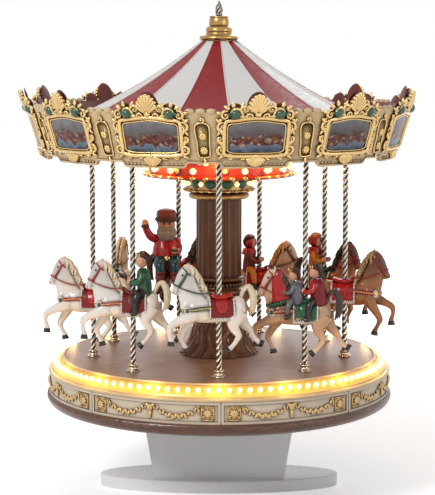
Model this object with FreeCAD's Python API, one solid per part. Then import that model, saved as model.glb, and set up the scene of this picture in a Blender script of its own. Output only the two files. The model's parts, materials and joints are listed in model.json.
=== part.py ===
import FreeCAD, Part
import math
import os

# A carousel music box on a display stand. Millimetres, +Z up, the origin under the middle of the foot.
# The front faces -Y. Angles about the axis are measured from the front towards +X.
Vector = FreeCAD.Vector
AXIS = Vector(0, 0, 1)
ORIGIN = Vector(0, 0, 0)

# Fits
SEAT_GAP = 0.05
RUNNING_GAP = 0.05
SLIDE_GAP = 0.15
MOVING_GAP = 0.3

# Display stand
FOOT_WIDTH = 190.0
FOOT_DEPTH = 60.0
FOOT_HEIGHT = 9.5
FOOT_EDGE = 1.2
BLOCK_HEIGHT = 60.5
BLOCK_BOTTOM_WIDTH = 103.0
BLOCK_TOP_WIDTH = 123.0
BLOCK_BOTTOM_DEPTH = 36.0
BLOCK_TOP_DEPTH = 42.0

# Base housing
PLATE_RADIUS = 122.0
PLATE_THICKNESS = 3.0
MOULDING_RADIUS = 136.5
MOULDING_HEIGHT = 9.3
HOUSING_LEDGE = 7.0
SCREW_COUNT = 8
SCREW_RADIUS = 1.3
SCREW_HEAD_RADIUS = 2.6
SCREW_HEAD_HEIGHT = 1.6
SCREW_LENGTH = 7.5
WALL_RADIUS = 134.5
WALL_THICKNESS = 5.0
WALL_HEIGHT = 16.5
PANEL_COUNT = 8
PANEL_BORDER = 2.0
PANEL_RECESS = 0.9
PANEL_FIRST_SEAM = 0.6
CHANNEL_HEIGHT = 11.7
CHANNEL_LIP = 2.2
BULB_RADIUS = 1.9
RIM_BULB_COUNT = 108

# Turning deck
DECK_RADIUS = 122.4
DECK_THICKNESS = 4.0
DECK_EDGE = 0.8
SHAFT_RADIUS = 3.0

# Horse poles and their lift
POLE_COUNT = 9
POLE_RING_RADIUS = 100.0
POLE_RADIUS = 2.2
POLE_TWIST_PITCH = 22.0
POLE_RINGS_PER_TURN = 9
POLE_BELOW_DECK = 6.5
POLE_ABOVE_CEILING = 9.0
LIFT_STROKE = 8.0
LIFT_WAVES = 3
LIFT_PHASE = 60.0
CAM_WIDTH = 6.0
FERRULE_RADIUS = 5.0
FERRULE_HEIGHT = 5.5
HORSE_HEIGHT = 47.5
LEG_SPREAD = 4.6
SADDLE_HALF_WIDTH = 8.8
SEAT_HEIGHT = 9.0
# The way each horse faces, in degrees from +X, in the order of the poles.
HORSE_FACING = [190.0, 174.0, -10.0, -35.0, -10.0, 20.0, 75.0, 172.0, 178.0]
# Riders by pole: scale, height of the cap, and place along the saddle.
RIDERS = {
    1: [(1.2, 2.0, 7.0), (1.35, 2.0, -9.0)],
    3: [(1.45, 2.0, -9.0)],
    4: [(1.45, 3.0, -9.0)],
    5: [(2.05, 5.0, -11.0)],
    8: [(1.5, 1.0, -9.0)],
}

# Canopy
HEADROOM = 162.5
CEILING_THICKNESS = 3.0
LEDGE_HEIGHT = 2.0
LEDGE_WIDTH = 6.0
CROWN_HEIGHT = 36.0
CROWN_DROP = 3.5
CROWN_BOTTOM_RADIUS = 138.0
CROWN_FLARE = 11.0
CROWN_THICKNESS = 3.0
CROWN_PANEL_COUNT = 12
CROWN_FIRST_PANEL = 10.5
PICTURE_WIDTH = 40.0
PICTURE_HEIGHT = 20.0
PICTURE_RISE = 8.5
FRAME_WIDTH = 4.0
FRAME_DEPTH = 2.0
PICTURE_DEPTH = 0.8
CREST_WIDTH = 20.0
CREST_HEIGHT = 16.5
CREST_DEPTH = 2.6
JEWEL_RADIUS = 3.6
JEWEL_HEIGHT = 2.8
JEWEL_SPREAD = 16.0
ROSETTE_RADIUS = 2.4
ROSETTE_HEIGHT = 1.4
ROOF_RIM_RISE = 14.0
ROOF_HEIGHT = 69.5
ROOF_TOP_RADIUS = 13.6
ROOF_SAG = 5.0
ROOF_THICKNESS = 2.0
GORE_COUNT = 16
GORE_FIRST_SEAM = 4.7
RIB_ANGLE = 0.9
RIB_HEIGHT = 0.8

# Centre column
COLUMN_BASE_RADIUS = 31.0
COLUMN_BASE_HEIGHT = 62.0
COLUMN_BASE_LOBES = 14
COLUMN_RADIUS = 18.0
COLUMN_HEIGHT = 62.5
FLUTE_COUNT = 20
FLUTE_DEPTH = 1.1
CAPITAL_RADIUS = 27.0
INNER_CROWN_RADIUS = 58.5
INNER_CROWN_HEIGHT = 21.0
INNER_BULB_COUNT = 36
CAPITAL_BULB_COUNT = 12

# Finial
FINIAL_RADIUS = 14.5
FINIAL_HEIGHT = 19.5
FLAME_RADIUS = 4.4
FLAME_HEIGHT = 12.0

# Music movement and drive
GEAR_MODULE = 1.5
DRIVE_TEETH = 60
BARREL_TEETH = 22
GEAR_WIDTH = 4.0
GEAR_UNDER_DECK = 3.5
BACKLASH = 0.3
BARREL_RADIUS = 14.0
BARREL_HEIGHT = 8.5
CROWN_GEAR_TEETH = 36
CROWN_GEAR_RADIUS = 10.8
CROWN_TOOTH_LENGTH = 2.4
TOOTH_ADDENDUM = 0.9
TOOTH_DEDENDUM = 1.25
CYLINDER_PINION_TEETH = 12
CYLINDER_RADIUS = 6.0
CYLINDER_LENGTH = 24.0
CYLINDER_START = 17.0
COMB_TEETH = 18
COMB_LENGTH = 18.0
COMB_THICKNESS = 1.0
COMB_SLOT = 0.25
WHEEL_RADIUS = 6.5
WORM_RADIUS = 1.0
FAN_WIDTH = 9.0
FAN_HEIGHT = 5.0
ARBOR_RADIUS = 2.0
ARBOR_DEPTH = 3.0
KEY_STEM = 10.0
KEY_WIDTH = 27.0
KEY_HEIGHT = 16.0
KEY_THICKNESS = 3.0

# Lighting supply
CELL_RADIUS = 7.25
CELL_LENGTH = 50.5
CELL_COUNT = 3
TRAY_WALL = 1.6
TRAY_CENTRE_Y = -62.0
COVER_THICKNESS = 1.6
SWITCH_X = -62.0
SWITCH_Y = 44.0
SWITCH_LENGTH = 5.0
SWITCH_WIDTH = 3.4
SWITCH_HEIGHT = 2.0
SWITCH_TRAVEL = 4.0
RING_RADIUS = 12.0
BRUSH_POST_X = 54.0

# Heights worked out from the sizes above
FOOT_TOP = FOOT_HEIGHT
BASE_BOTTOM = FOOT_TOP + BLOCK_HEIGHT
PLATE_TOP = BASE_BOTTOM + PLATE_THICKNESS
MOULDING_TOP = BASE_BOTTOM + MOULDING_HEIGHT
WALL_TOP = MOULDING_TOP + WALL_HEIGHT
DECK_TOP = WALL_TOP + CHANNEL_HEIGHT
DECK_BOTTOM = DECK_TOP - DECK_THICKNESS
CEILING_BOTTOM = DECK_TOP + HEADROOM
CEILING_TOP = CEILING_BOTTOM + CEILING_THICKNESS
CROWN_BOTTOM = CEILING_BOTTOM - LEDGE_HEIGHT
CROWN_TOP = CROWN_BOTTOM + CROWN_HEIGHT
ROOF_RIM = CEILING_BOTTOM + ROOF_RIM_RISE
ROOF_TOP = ROOF_RIM + ROOF_HEIGHT
COLUMN_BASE_TOP = DECK_TOP + COLUMN_BASE_HEIGHT
COLUMN_TOP = COLUMN_BASE_TOP + COLUMN_HEIGHT
INNER_CROWN_BOTTOM = CEILING_BOTTOM - INNER_CROWN_HEIGHT
GEAR_TOP = DECK_BOTTOM - GEAR_UNDER_DECK
GEAR_BOTTOM = GEAR_TOP - GEAR_WIDTH
BARREL_Y = GEAR_MODULE * (DRIVE_TEETH + BARREL_TEETH) / 2
BARREL_TOP = GEAR_BOTTOM - MOVING_GAP
BARREL_BOTTOM = BARREL_TOP - BARREL_HEIGHT
PINION_MODULE = 2 * CROWN_GEAR_RADIUS / CROWN_GEAR_TEETH
PINION_RADIUS = PINION_MODULE * CYLINDER_PINION_TEETH / 2
CROWN_PITCH_Z = BARREL_BOTTOM - TOOTH_DEDENDUM * PINION_MODULE
CYLINDER_Z = CROWN_PITCH_Z - PINION_RADIUS
POLE_BOTTOM = DECK_BOTTOM - POLE_BELOW_DECK
POLE_LENGTH = CEILING_TOP + POLE_ABOVE_CEILING - POLE_BOTTOM
CAM_MIDDLE = POLE_BOTTOM - LIFT_STROKE - MOVING_GAP
POLE_HOLE_RADIUS = POLE_RADIUS + SLIDE_GAP
POLE_ANGLES = [360.0 / POLE_COUNT * index for index in range(POLE_COUNT)]

parts = {}


# Drawing helpers


def spot(radius, angle, height=0.0):
    """A point at an angle from the front, at a distance from the axis."""
    turn = math.radians(angle)
    return Vector(radius * math.sin(turn), -radius * math.cos(turn), height)


def turned_to(shape, angle):
    """A copy of a shape made at the front, carried round to an angle."""
    copy = shape.copy()
    copy.rotate(ORIGIN, AXIS, angle)
    return copy


def moved(shape, x=0.0, y=0.0, z=0.0):
    copy = shape.copy()
    copy.translate(Vector(x, y, z))
    return copy


def around(shape, count, first=0.0):
    """Copies of a shape made at the front, evenly spaced about the axis."""
    return [turned_to(shape, first + 360.0 / count * index) for index in range(count)]


def outline(points, place):
    """A closed wire. A point of two numbers ends a line, and one of four ends an arc through the first two."""
    edges = []
    here = points[0][-2:]
    for point in list(points[1:]) + [points[0][-2:]]:
        there = point[-2:]
        if math.dist(here, there) < 1e-6:
            continue
        if len(point) == 4:
            edges.append(Part.Arc(place(*here), place(*point[:2]), place(*there)).toShape())
        else:
            edges.append(Part.LineSegment(place(*here), place(*there)).toShape())
        here = there
    return Part.Wire(edges)


def in_section(radius, height):
    return Vector(radius, 0, height)


def lathe(points, angle=360.0, start=0.0):
    """A turned solid from a section of (radius, height) points. A part turn starts at an angle from the front."""
    face = Part.Face(outline(points, in_section))
    solid = face.revolve(ORIGIN, AXIS, angle)
    solid.rotate(ORIGIN, AXIS, start - 90.0)
    return solid


def tube(outer, inner, bottom, top):
    return lathe([(inner, bottom), (outer, bottom), (outer, top), (inner, top)])


def rod(radius, bottom, top, x=0.0, y=0.0):
    return Part.makeCylinder(radius, top - bottom, Vector(x, y, bottom))


def box(x_low, x_high, y_low, y_high, z_low, z_high):
    return Part.makeBox(x_high - x_low, y_high - y_low, z_high - z_low, Vector(x_low, y_low, z_low))


def oval_ring(centre, normal, side, half_side, half_other, points=8):
    """A smooth closed curve about a centre, wide along side and square to normal."""
    ahead = Vector(normal).normalize()
    across = side - ahead * side.dot(ahead)
    across.normalize()
    other = ahead.cross(across)
    ring = []
    for index in range(points):
        turn = 2 * math.pi * index / points
        ring.append(centre + across * (half_side * math.cos(turn)) + other * (half_other * math.sin(turn)))
    curve = Part.BSplineCurve()
    curve.interpolate(ring, PeriodicFlag=True)
    return Part.Wire([curve.toShape()])


def limb(stations, side=Vector(0, 1, 0)):
    """A smooth solid through ovals: each station is (x, y, z, half width, half depth)."""
    centres = [Vector(*station[:3]) for station in stations]
    rings = []
    for index, station in enumerate(stations):
        before = centres[max(index - 1, 0)]
        after = centres[min(index + 1, len(centres) - 1)]
        rings.append(oval_ring(centres[index], after - before, side, station[3], station[-1]))
    return Part.makeLoft(rings, True, False)


def one_solid(shapes):
    """Shapes joined into one solid."""
    joined = shapes[0]
    for shape in shapes[1:]:
        joined = joined.fuse(shape)
    return joined.Solids[0]


def group(shapes):
    return Part.makeCompound([solid for shape in shapes for solid in shape.Solids])


# Display stand


def make_stand():
    ellipse = Part.Ellipse(ORIGIN, FOOT_WIDTH / 2, FOOT_DEPTH / 2)
    foot = Part.Face(Part.Wire([ellipse.toShape()])).extrude(Vector(0, 0, FOOT_HEIGHT))
    rim = [edge for edge in foot.Edges if abs(edge.BoundBox.ZMin - FOOT_HEIGHT) < 1e-6]
    parts["stand_foot"] = foot.makeFillet(FOOT_EDGE, rim)

    def level(width, depth, height):
        corners = [(-width, -depth), (width, -depth), (width, depth), (-width, depth)]
        return outline(corners, lambda x, y: Vector(x / 2, y / 2, height))

    parts["stand_block"] = Part.makeLoft(
        [
            level(BLOCK_BOTTOM_WIDTH, BLOCK_BOTTOM_DEPTH, FOOT_TOP),
            level(BLOCK_TOP_WIDTH, BLOCK_TOP_DEPTH, BASE_BOTTOM),
        ],
        True,
        True,
    )


# Base housing


def screw_ring(radius, head_radius=SCREW_HEAD_RADIUS):
    """Screws up through the base plate into the ledge of the housing, or the holes for them."""
    screw = lathe(
        [
            (0, BASE_BOTTOM),
            (head_radius, BASE_BOTTOM),
            (head_radius, BASE_BOTTOM + 0.4),
            (radius, BASE_BOTTOM + SCREW_HEAD_HEIGHT),
            (radius, BASE_BOTTOM + SCREW_LENGTH),
            (0, BASE_BOTTOM + SCREW_LENGTH),
        ]
    )
    return around(moved(screw, y=-PLATE_RADIUS + HOUSING_LEDGE / 2), SCREW_COUNT, 180.0 / SCREW_COUNT)


def make_base_plate():
    parts["base_screws"] = group(screw_ring(SCREW_RADIUS))
    plate = rod(PLATE_RADIUS, BASE_BOTTOM, PLATE_TOP)
    half_width, half_length = tray_half_sizes()
    opening = box(
        -half_width + TRAY_WALL,
        half_width - TRAY_WALL,
        TRAY_CENTRE_Y - half_length + TRAY_WALL,
        TRAY_CENTRE_Y + half_length - TRAY_WALL,
        BASE_BOTTOM,
        PLATE_TOP,
    )
    recess = box(
        -half_width,
        half_width,
        TRAY_CENTRE_Y - half_length,
        TRAY_CENTRE_Y + half_length,
        BASE_BOTTOM,
        BASE_BOTTOM + COVER_THICKNESS,
    )
    arbor_hole = rod(ARBOR_RADIUS + MOVING_GAP, BASE_BOTTOM, PLATE_TOP, 0, BARREL_Y)
    half_slot = (SWITCH_TRAVEL + SWITCH_LENGTH) / 2 + MOVING_GAP
    half_lever = SWITCH_WIDTH / 2 + MOVING_GAP
    slot = box(
        SWITCH_X - half_slot,
        SWITCH_X + half_slot,
        SWITCH_Y - half_lever,
        SWITCH_Y + half_lever,
        BASE_BOTTOM,
        PLATE_TOP,
    )
    screw_holes = screw_ring(SCREW_RADIUS + SEAT_GAP, SCREW_HEAD_RADIUS + SEAT_GAP)
    parts["base_plate"] = plate.cut([opening, recess, arbor_hole, slot] + screw_holes)
    parts["battery_cover"] = box(
        -half_width + SEAT_GAP,
        half_width - SEAT_GAP,
        TRAY_CENTRE_Y - half_length + SEAT_GAP,
        TRAY_CENTRE_Y + half_length - SEAT_GAP,
        BASE_BOTTOM,
        BASE_BOTTOM + COVER_THICKNESS,
    )


def make_base_walls():
    parts["base_moulding"] = lathe(
        [
            (PLATE_RADIUS + SEAT_GAP, BASE_BOTTOM),
            (MOULDING_RADIUS - 9.0, BASE_BOTTOM),
            (MOULDING_RADIUS - 2.6, BASE_BOTTOM + 1.6, MOULDING_RADIUS, BASE_BOTTOM + 6.0),
            (MOULDING_RADIUS, MOULDING_TOP - 2.2),
            (MOULDING_RADIUS - 0.4, MOULDING_TOP - 0.8, MOULDING_RADIUS - 1.4, MOULDING_TOP),
            (PLATE_RADIUS - HOUSING_LEDGE, MOULDING_TOP),
            (PLATE_RADIUS - HOUSING_LEDGE, PLATE_TOP),
            (PLATE_RADIUS + SEAT_GAP, PLATE_TOP),
        ]
    ).cut(screw_ring(SCREW_RADIUS))
    wall_inner = WALL_RADIUS - WALL_THICKNESS
    wall = tube(WALL_RADIUS, wall_inner, MOULDING_TOP, WALL_TOP)
    pitch = 360.0 / PANEL_COUNT
    border_angle = math.degrees(PANEL_BORDER / WALL_RADIUS)
    field = lathe(
        [
            (WALL_RADIUS - PANEL_RECESS, MOULDING_TOP + PANEL_BORDER),
            (WALL_RADIUS + 1.0, MOULDING_TOP + PANEL_BORDER),
            (WALL_RADIUS + 1.0, WALL_TOP - PANEL_BORDER),
            (WALL_RADIUS - PANEL_RECESS, WALL_TOP - PANEL_BORDER),
        ],
        pitch - 2 * border_angle,
        PANEL_FIRST_SEAM + border_angle,
    )
    groove = box(-0.3, 0.3, -WALL_RADIUS - 1.0, -WALL_RADIUS + 0.6, MOULDING_TOP, WALL_TOP)
    grooves = around(groove, PANEL_COUNT, PANEL_FIRST_SEAM)
    parts["base_panels"] = wall.cut(around(field, PANEL_COUNT) + grooves)
    parts["light_channel"] = lathe(
        [
            (wall_inner, WALL_TOP),
            (WALL_RADIUS, WALL_TOP),
            (WALL_RADIUS + 0.9, WALL_TOP + CHANNEL_LIP / 2, WALL_RADIUS, WALL_TOP + CHANNEL_LIP),
            (WALL_RADIUS - 2.2, WALL_TOP + CHANNEL_LIP),
            (DECK_RADIUS + 2.4, DECK_TOP - 1.6),
            (DECK_RADIUS + 2.2, DECK_TOP),
            (DECK_RADIUS + MOVING_GAP, DECK_TOP),
            (DECK_RADIUS + MOVING_GAP, DECK_TOP - 3.0),
            (wall_inner, WALL_TOP + 2.0),
        ]
    )


def bulb(radius):
    """A small round lamp on a narrow neck, standing on z = 0."""
    neck = 0.6 * radius
    middle = 1.1 * radius
    shoulder = middle - math.sqrt(radius**2 - neck**2)
    return lathe([(0, 0), (neck, 0), (neck, shoulder), (radius, middle, 0, middle + radius)])


def dome(radius, height):
    """A low round boss standing on z = 0, cut from a ball."""
    ball = (radius**2 + height**2) / (2 * height)
    lean = math.asin(radius / ball) / 2
    middle = (ball * math.sin(lean), height - ball + ball * math.cos(lean))
    return lathe([(0, 0), (radius, 0), (*middle, 0, height)])


def bulb_on(radius, seat_radius, seat_height, tilt):
    """A lamp at the front, its foot at a radius and height, leaning outwards by tilt from upright."""
    lamp = bulb(radius)
    lamp.rotate(ORIGIN, Vector(1, 0, 0), tilt)
    return moved(lamp, y=-seat_radius, z=seat_height)


def make_rim_bulbs():
    inner = (DECK_RADIUS + 2.4, DECK_TOP - 1.6)
    outer = (WALL_RADIUS - 2.2, WALL_TOP + CHANNEL_LIP)
    slope = math.degrees(math.atan2(inner[1] - outer[1], outer[0] - inner[0]))
    lift = SEAT_GAP / math.cos(math.radians(slope))
    lamp = bulb_on(BULB_RADIUS, (inner[0] + outer[0]) / 2, (inner[1] + outer[1]) / 2 + lift, slope)
    parts["rim_bulbs"] = group(around(lamp, RIM_BULB_COUNT))


def wall_relief(points, radius, depth, base):
    """A raised piece on a round wall at the front, from an outline of (sideways, upwards) points."""
    wire = outline(points, lambda side, up: Vector(side, -radius - depth - 1.0, base + up))
    prism = Part.Face(wire).extrude(Vector(0, depth + radius / 4, 0))
    height = prism.BoundBox.ZMax + 1.0
    return prism.common(tube(radius + depth, radius, prism.BoundBox.ZMin - 1.0, height))


def make_garlands():
    field_radius = WALL_RADIUS - PANEL_RECESS
    middle = WALL_HEIGHT / 2
    half_panel = field_radius * math.sin(math.pi / PANEL_COUNT)
    block_side = half_panel - PANEL_BORDER - 7.0
    top = WALL_HEIGHT - PANEL_BORDER - 2.2
    block = [(-4.6, 3.2), (4.6, 3.2), (4.6, WALL_HEIGHT - 3.2), (-4.6, WALL_HEIGHT - 3.2)]
    reach = block_side - 8.0
    swag = [
        (3.0, top),
        (reach / 2 + 1.0, top - 6.4, reach, top),
        (reach - 0.6, top - 1.6),
        (reach / 2 + 1.0, top - 10.0, 3.2, top - 1.8),
    ]
    drop = [(0, 2.6), (2.4, middle - 0.5), (1.6, top + 0.6), (-1.6, top + 0.6), (-2.4, middle - 0.5)]
    mirrored = [tuple(-x if index % 2 == 0 else x for index, x in enumerate(point)) for point in swag]
    pieces = [wall_relief(shape, field_radius, 1.1, MOULDING_TOP) for shape in (swag, mirrored, drop)]
    corner = wall_relief(block, field_radius, PANEL_RECESS, MOULDING_TOP)
    stud = dome(ROSETTE_RADIUS, ROSETTE_HEIGHT)
    stud.rotate(ORIGIN, Vector(1, 0, 0), 90)
    flower = moved(stud, y=-WALL_RADIUS + SEAT_GAP, z=MOULDING_TOP + middle)
    block_turn = math.degrees(math.asin(block_side / field_radius))
    corner = corner.fuse(flower)
    pieces += [turned_to(corner, -block_turn), turned_to(corner, block_turn)]
    panel = group(pieces)
    parts["base_garlands"] = group(around(panel, PANEL_COUNT, PANEL_FIRST_SEAM + 180.0 / PANEL_COUNT))


# Lift cam under the deck


def make_cam():
    """A fixed ring whose top rises and falls, which lifts the pole feet as the deck turns."""

    def wave(radius):
        crests = []
        steps = 16 * LIFT_WAVES
        for index in range(steps):
            angle = 360.0 / steps * index
            rise = math.cos(math.radians(LIFT_WAVES * angle + LIFT_PHASE)) * LIFT_STROKE / 2
            crests.append(spot(radius, angle, CAM_MIDDLE - LIFT_STROKE / 2 + rise))
        curve = Part.BSplineCurve()
        curve.interpolate(crests, PeriodicFlag=True)
        return curve.toShape()

    inner, outer = POLE_RING_RADIUS - CAM_WIDTH / 2, POLE_RING_RADIUS + CAM_WIDTH / 2
    ring = tube(outer, inner, PLATE_TOP, CAM_MIDDLE + LIFT_STROKE)
    top = Part.makeRuledSurface(wave(inner - 1.0), wave(outer + 1.0))
    above = top.extrude(Vector(0, 0, 4 * LIFT_STROKE))
    parts["lift_cam"] = ring.cut(above).Solids[0]


# Turning deck, shaft and bearing


def make_deck():
    deck = rod(DECK_RADIUS, DECK_BOTTOM, DECK_TOP)
    rim = [e for e in deck.Edges if abs(e.BoundBox.ZMin - DECK_TOP) < 1e-6 and e.Closed]
    deck = deck.makeFillet(DECK_EDGE, rim)
    hole = rod(POLE_HOLE_RADIUS, DECK_BOTTOM - 1.0, DECK_TOP + 1.0, 0, -POLE_RING_RADIUS)
    bore = rod(SHAFT_RADIUS + SEAT_GAP, DECK_BOTTOM - 1.0, DECK_TOP + 1.0)
    parts["deck"] = deck.cut(around(hole, POLE_COUNT) + [bore])
    ferrule = lathe(
        [
            (POLE_HOLE_RADIUS, DECK_TOP),
            (FERRULE_RADIUS, DECK_TOP),
            (FERRULE_RADIUS, DECK_TOP + 1.0),
            (POLE_HOLE_RADIUS + 1.3, DECK_TOP + 2.2),
            (POLE_HOLE_RADIUS + 0.8, DECK_TOP + FERRULE_HEIGHT - 1.5),
            (POLE_HOLE_RADIUS + 1.3, DECK_TOP + FERRULE_HEIGHT - 1.0),
            (POLE_HOLE_RADIUS + 1.0, DECK_TOP + FERRULE_HEIGHT),
            (POLE_HOLE_RADIUS, DECK_TOP + FERRULE_HEIGHT),
        ]
    )
    parts["pole_ferrules"] = group(around(moved(ferrule, y=-POLE_RING_RADIUS), POLE_COUNT))


def make_shaft():
    bush_top = GEAR_BOTTOM - 4.0
    shaft_bottom = PLATE_TOP + 1.0
    shaft_top = ROOF_TOP + FINIAL_HEIGHT - 4.0
    parts["drive_shaft"] = rod(SHAFT_RADIUS, shaft_bottom, shaft_top)
    parts["shaft_bush"] = lathe(
        [
            (0, PLATE_TOP),
            (14.0, PLATE_TOP),
            (14.0, PLATE_TOP + 2.0),
            (8.0, PLATE_TOP + 3.5),
            (8.0, bush_top),
            (SHAFT_RADIUS + RUNNING_GAP, bush_top),
            (SHAFT_RADIUS + RUNNING_GAP, shaft_bottom - 0.2),
            (0, shaft_bottom - 0.2),
        ]
    )
    ring_bottom = GEAR_TOP
    section = [(SHAFT_RADIUS + SEAT_GAP, ring_bottom), (RING_RADIUS, ring_bottom)]
    for step in (0.8, 2.0):
        section += [(RING_RADIUS, ring_bottom + step), (RING_RADIUS - 0.6, ring_bottom + step)]
        section += [(RING_RADIUS - 0.6, ring_bottom + step + 0.6), (RING_RADIUS, ring_bottom + step + 0.6)]
    section += [(RING_RADIUS, DECK_BOTTOM), (SHAFT_RADIUS + SEAT_GAP, DECK_BOTTOM)]
    parts["slip_ring"] = lathe(section)
    reach = RING_RADIUS + MOVING_GAP
    post = box(BRUSH_POST_X - 3.0, BRUSH_POST_X + 3.0, -6.0, 6.0, PLATE_TOP, DECK_BOTTOM - 1.0)
    fingers = [
        box(reach, BRUSH_POST_X, side - 1.5, side + 1.5, DECK_BOTTOM - 2.0, DECK_BOTTOM - 1.5) for side in (-3.0, 3.0)
    ]
    parts["brush_contacts"] = one_solid([post] + fingers)


# Gears


def tooth_flank(module, teeth, backlash, outer):
    """Half tooth angles along an involute flank, as (radius, angle) pairs from the root outwards."""
    pressure = math.radians(20.0)
    pitch_radius = module * teeth / 2
    base_radius = pitch_radius * math.cos(pressure)
    half_at_pitch = math.pi / (2 * teeth) - backlash / (4 * pitch_radius)
    lean_at_pitch = math.tan(pressure) - pressure
    flank = []
    first = max(base_radius, pitch_radius - TOOTH_DEDENDUM * module)
    for index in range(5):
        radius = first + (outer - first) * index / 4
        slant = math.acos(min(1.0, base_radius / radius))
        flank.append((radius, half_at_pitch + lean_at_pitch - (math.tan(slant) - slant)))
    return flank


def spur_gear(module, teeth, width, backlash=BACKLASH):
    """A straight gear on z = 0 with a tooth centred on +X."""
    pitch_radius = module * teeth / 2
    outer = pitch_radius + TOOTH_ADDENDUM * module
    root = pitch_radius - TOOTH_DEDENDUM * module
    flank = tooth_flank(module, teeth, backlash, outer)

    def at(radius, angle):
        return Vector(radius * math.cos(angle), radius * math.sin(angle), 0)

    edges = []
    step = 2 * math.pi / teeth
    for index in range(teeth):
        centre = step * index
        rising = [at(r, centre - a) for r, a in flank]
        falling = [at(r, centre + a) for r, a in reversed(flank)]
        foot_in, foot_out = at(root, centre - flank[0][1]), at(root, centre + flank[0][1])
        for curve in (rising, falling):
            spline = Part.BSplineCurve()
            spline.interpolate(curve)
            edges.append(spline.toShape())
        edges.insert(-1, Part.Arc(rising[-1], at(outer, centre), falling[0]).toShape())
        if (rising[0] - foot_in).Length > 1e-6:
            edges.insert(-3, Part.LineSegment(foot_in, rising[0]).toShape())
            edges.append(Part.LineSegment(falling[-1], foot_out).toShape())
        next_in = at(root, centre + step - flank[0][1])
        edges.append(Part.Arc(foot_out, at(root, centre + step / 2), next_in).toShape())
    wire = Part.Wire(Part.__sortEdges__(edges))
    return Part.Face(wire).extrude(Vector(0, 0, width))


def make_drive():
    gear = moved(spur_gear(GEAR_MODULE, DRIVE_TEETH, GEAR_WIDTH), z=GEAR_BOTTOM)
    gear.rotate(ORIGIN, AXIS, 90.0)
    hub = rod(9.0, GEAR_BOTTOM - 4.0 + MOVING_GAP, GEAR_TOP)
    window = Part.Face(
        outline(
            [(14.0, -6.0), (30.0, -11.0), (38.5, 0.0, 30.0, 11.0), (14.0, 6.0)], lambda x, y: Vector(x, y, GEAR_BOTTOM - 1.0)
        )
    ).extrude(Vector(0, 0, GEAR_WIDTH + 2.0))
    bore = rod(SHAFT_RADIUS + SEAT_GAP, GEAR_BOTTOM - 5.0, GEAR_TOP + 1.0)
    parts["drive_gear"] = gear.fuse(hub).cut([bore] + around(window, 6))


# Music movement


def make_barrel():
    """The spring barrel: a can with a straight gear above it and a crown gear below."""
    gear = moved(spur_gear(GEAR_MODULE, BARREL_TEETH, GEAR_WIDTH), z=GEAR_BOTTOM)
    gear.rotate(ORIGIN, AXIS, -90.0 + 180.0 / BARREL_TEETH)
    can = lathe(
        [
            (0, BARREL_BOTTOM),
            (BARREL_RADIUS, BARREL_BOTTOM),
            (BARREL_RADIUS, BARREL_TOP - 1.0),
            (BARREL_RADIUS - 1.0, BARREL_TOP),
            (8.0, BARREL_TOP),
            (8.0, GEAR_BOTTOM + 1.0),
            (0, GEAR_BOTTOM + 1.0),
        ]
    )
    half = math.pi * CROWN_GEAR_RADIUS / CROWN_GEAR_TEETH / 2 - BACKLASH / 2
    lean = math.tan(math.radians(20.0))
    top, bottom = BARREL_BOTTOM + 0.3, CROWN_PITCH_Z - TOOTH_ADDENDUM * PINION_MODULE
    low_half, high_half = half - lean * (CROWN_PITCH_Z - bottom), half + lean * (top - CROWN_PITCH_Z)
    profile = [(-high_half, top), (-low_half, bottom), (low_half, bottom), (high_half, top)]

    def tooth_end(radius):
        share = radius / CROWN_GEAR_RADIUS
        return outline(profile, lambda side, height: Vector(side * share, -radius, height))

    ends = [CROWN_GEAR_RADIUS - CROWN_TOOTH_LENGTH / 2, CROWN_GEAR_RADIUS + CROWN_TOOTH_LENGTH / 2]
    tooth = Part.makeLoft([tooth_end(radius) for radius in ends], True, True)
    teeth = around(tooth, CROWN_GEAR_TEETH, 90.0 + 180.0 / CROWN_GEAR_TEETH)
    socket = rod(ARBOR_RADIUS + RUNNING_GAP, BARREL_BOTTOM - 3.0, BARREL_BOTTOM + ARBOR_DEPTH + MOVING_GAP)
    barrel = one_solid([can, gear] + teeth).cut(socket)
    parts["spring_barrel"] = moved(barrel, y=BARREL_Y)


def along_x(shape, x):
    """A shape made about +Z turned to lie along +X at the height of the pin cylinder."""
    copy = shape.copy()
    copy.rotate(ORIGIN, Vector(0, 1, 0), 90.0)
    return moved(copy, x, BARREL_Y, CYLINDER_Z)


def make_pin_cylinder():
    face_width = CROWN_TOOTH_LENGTH - 2 * MOVING_GAP
    pinion = spur_gear(PINION_MODULE, CYLINDER_PINION_TEETH, face_width)
    pieces = [along_x(pinion, CROWN_GEAR_RADIUS - face_width / 2)]
    start = CROWN_GEAR_RADIUS - CROWN_TOOTH_LENGTH / 2
    end = CYLINDER_START + CYLINDER_LENGTH
    wheel_x = end + 2.5
    pieces.append(along_x(rod(1.2, 0, wheel_x + 4.5 - start), start))
    drum = lathe(
        [
            (0, 0),
            (CYLINDER_RADIUS - 0.5, 0),
            (CYLINDER_RADIUS, 0.5),
            (CYLINDER_RADIUS, CYLINDER_LENGTH - 0.5),
            (CYLINDER_RADIUS - 0.5, CYLINDER_LENGTH),
            (0, CYLINDER_LENGTH),
        ]
    )
    pieces.append(along_x(drum, CYLINDER_START))
    wheel_teeth = 24
    wheel_module = WHEEL_RADIUS * 2 / (wheel_teeth + 1.8)
    pieces.append(along_x(spur_gear(wheel_module, wheel_teeth, 1.6), wheel_x))
    parts["pin_cylinder"] = one_solid(pieces)


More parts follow.
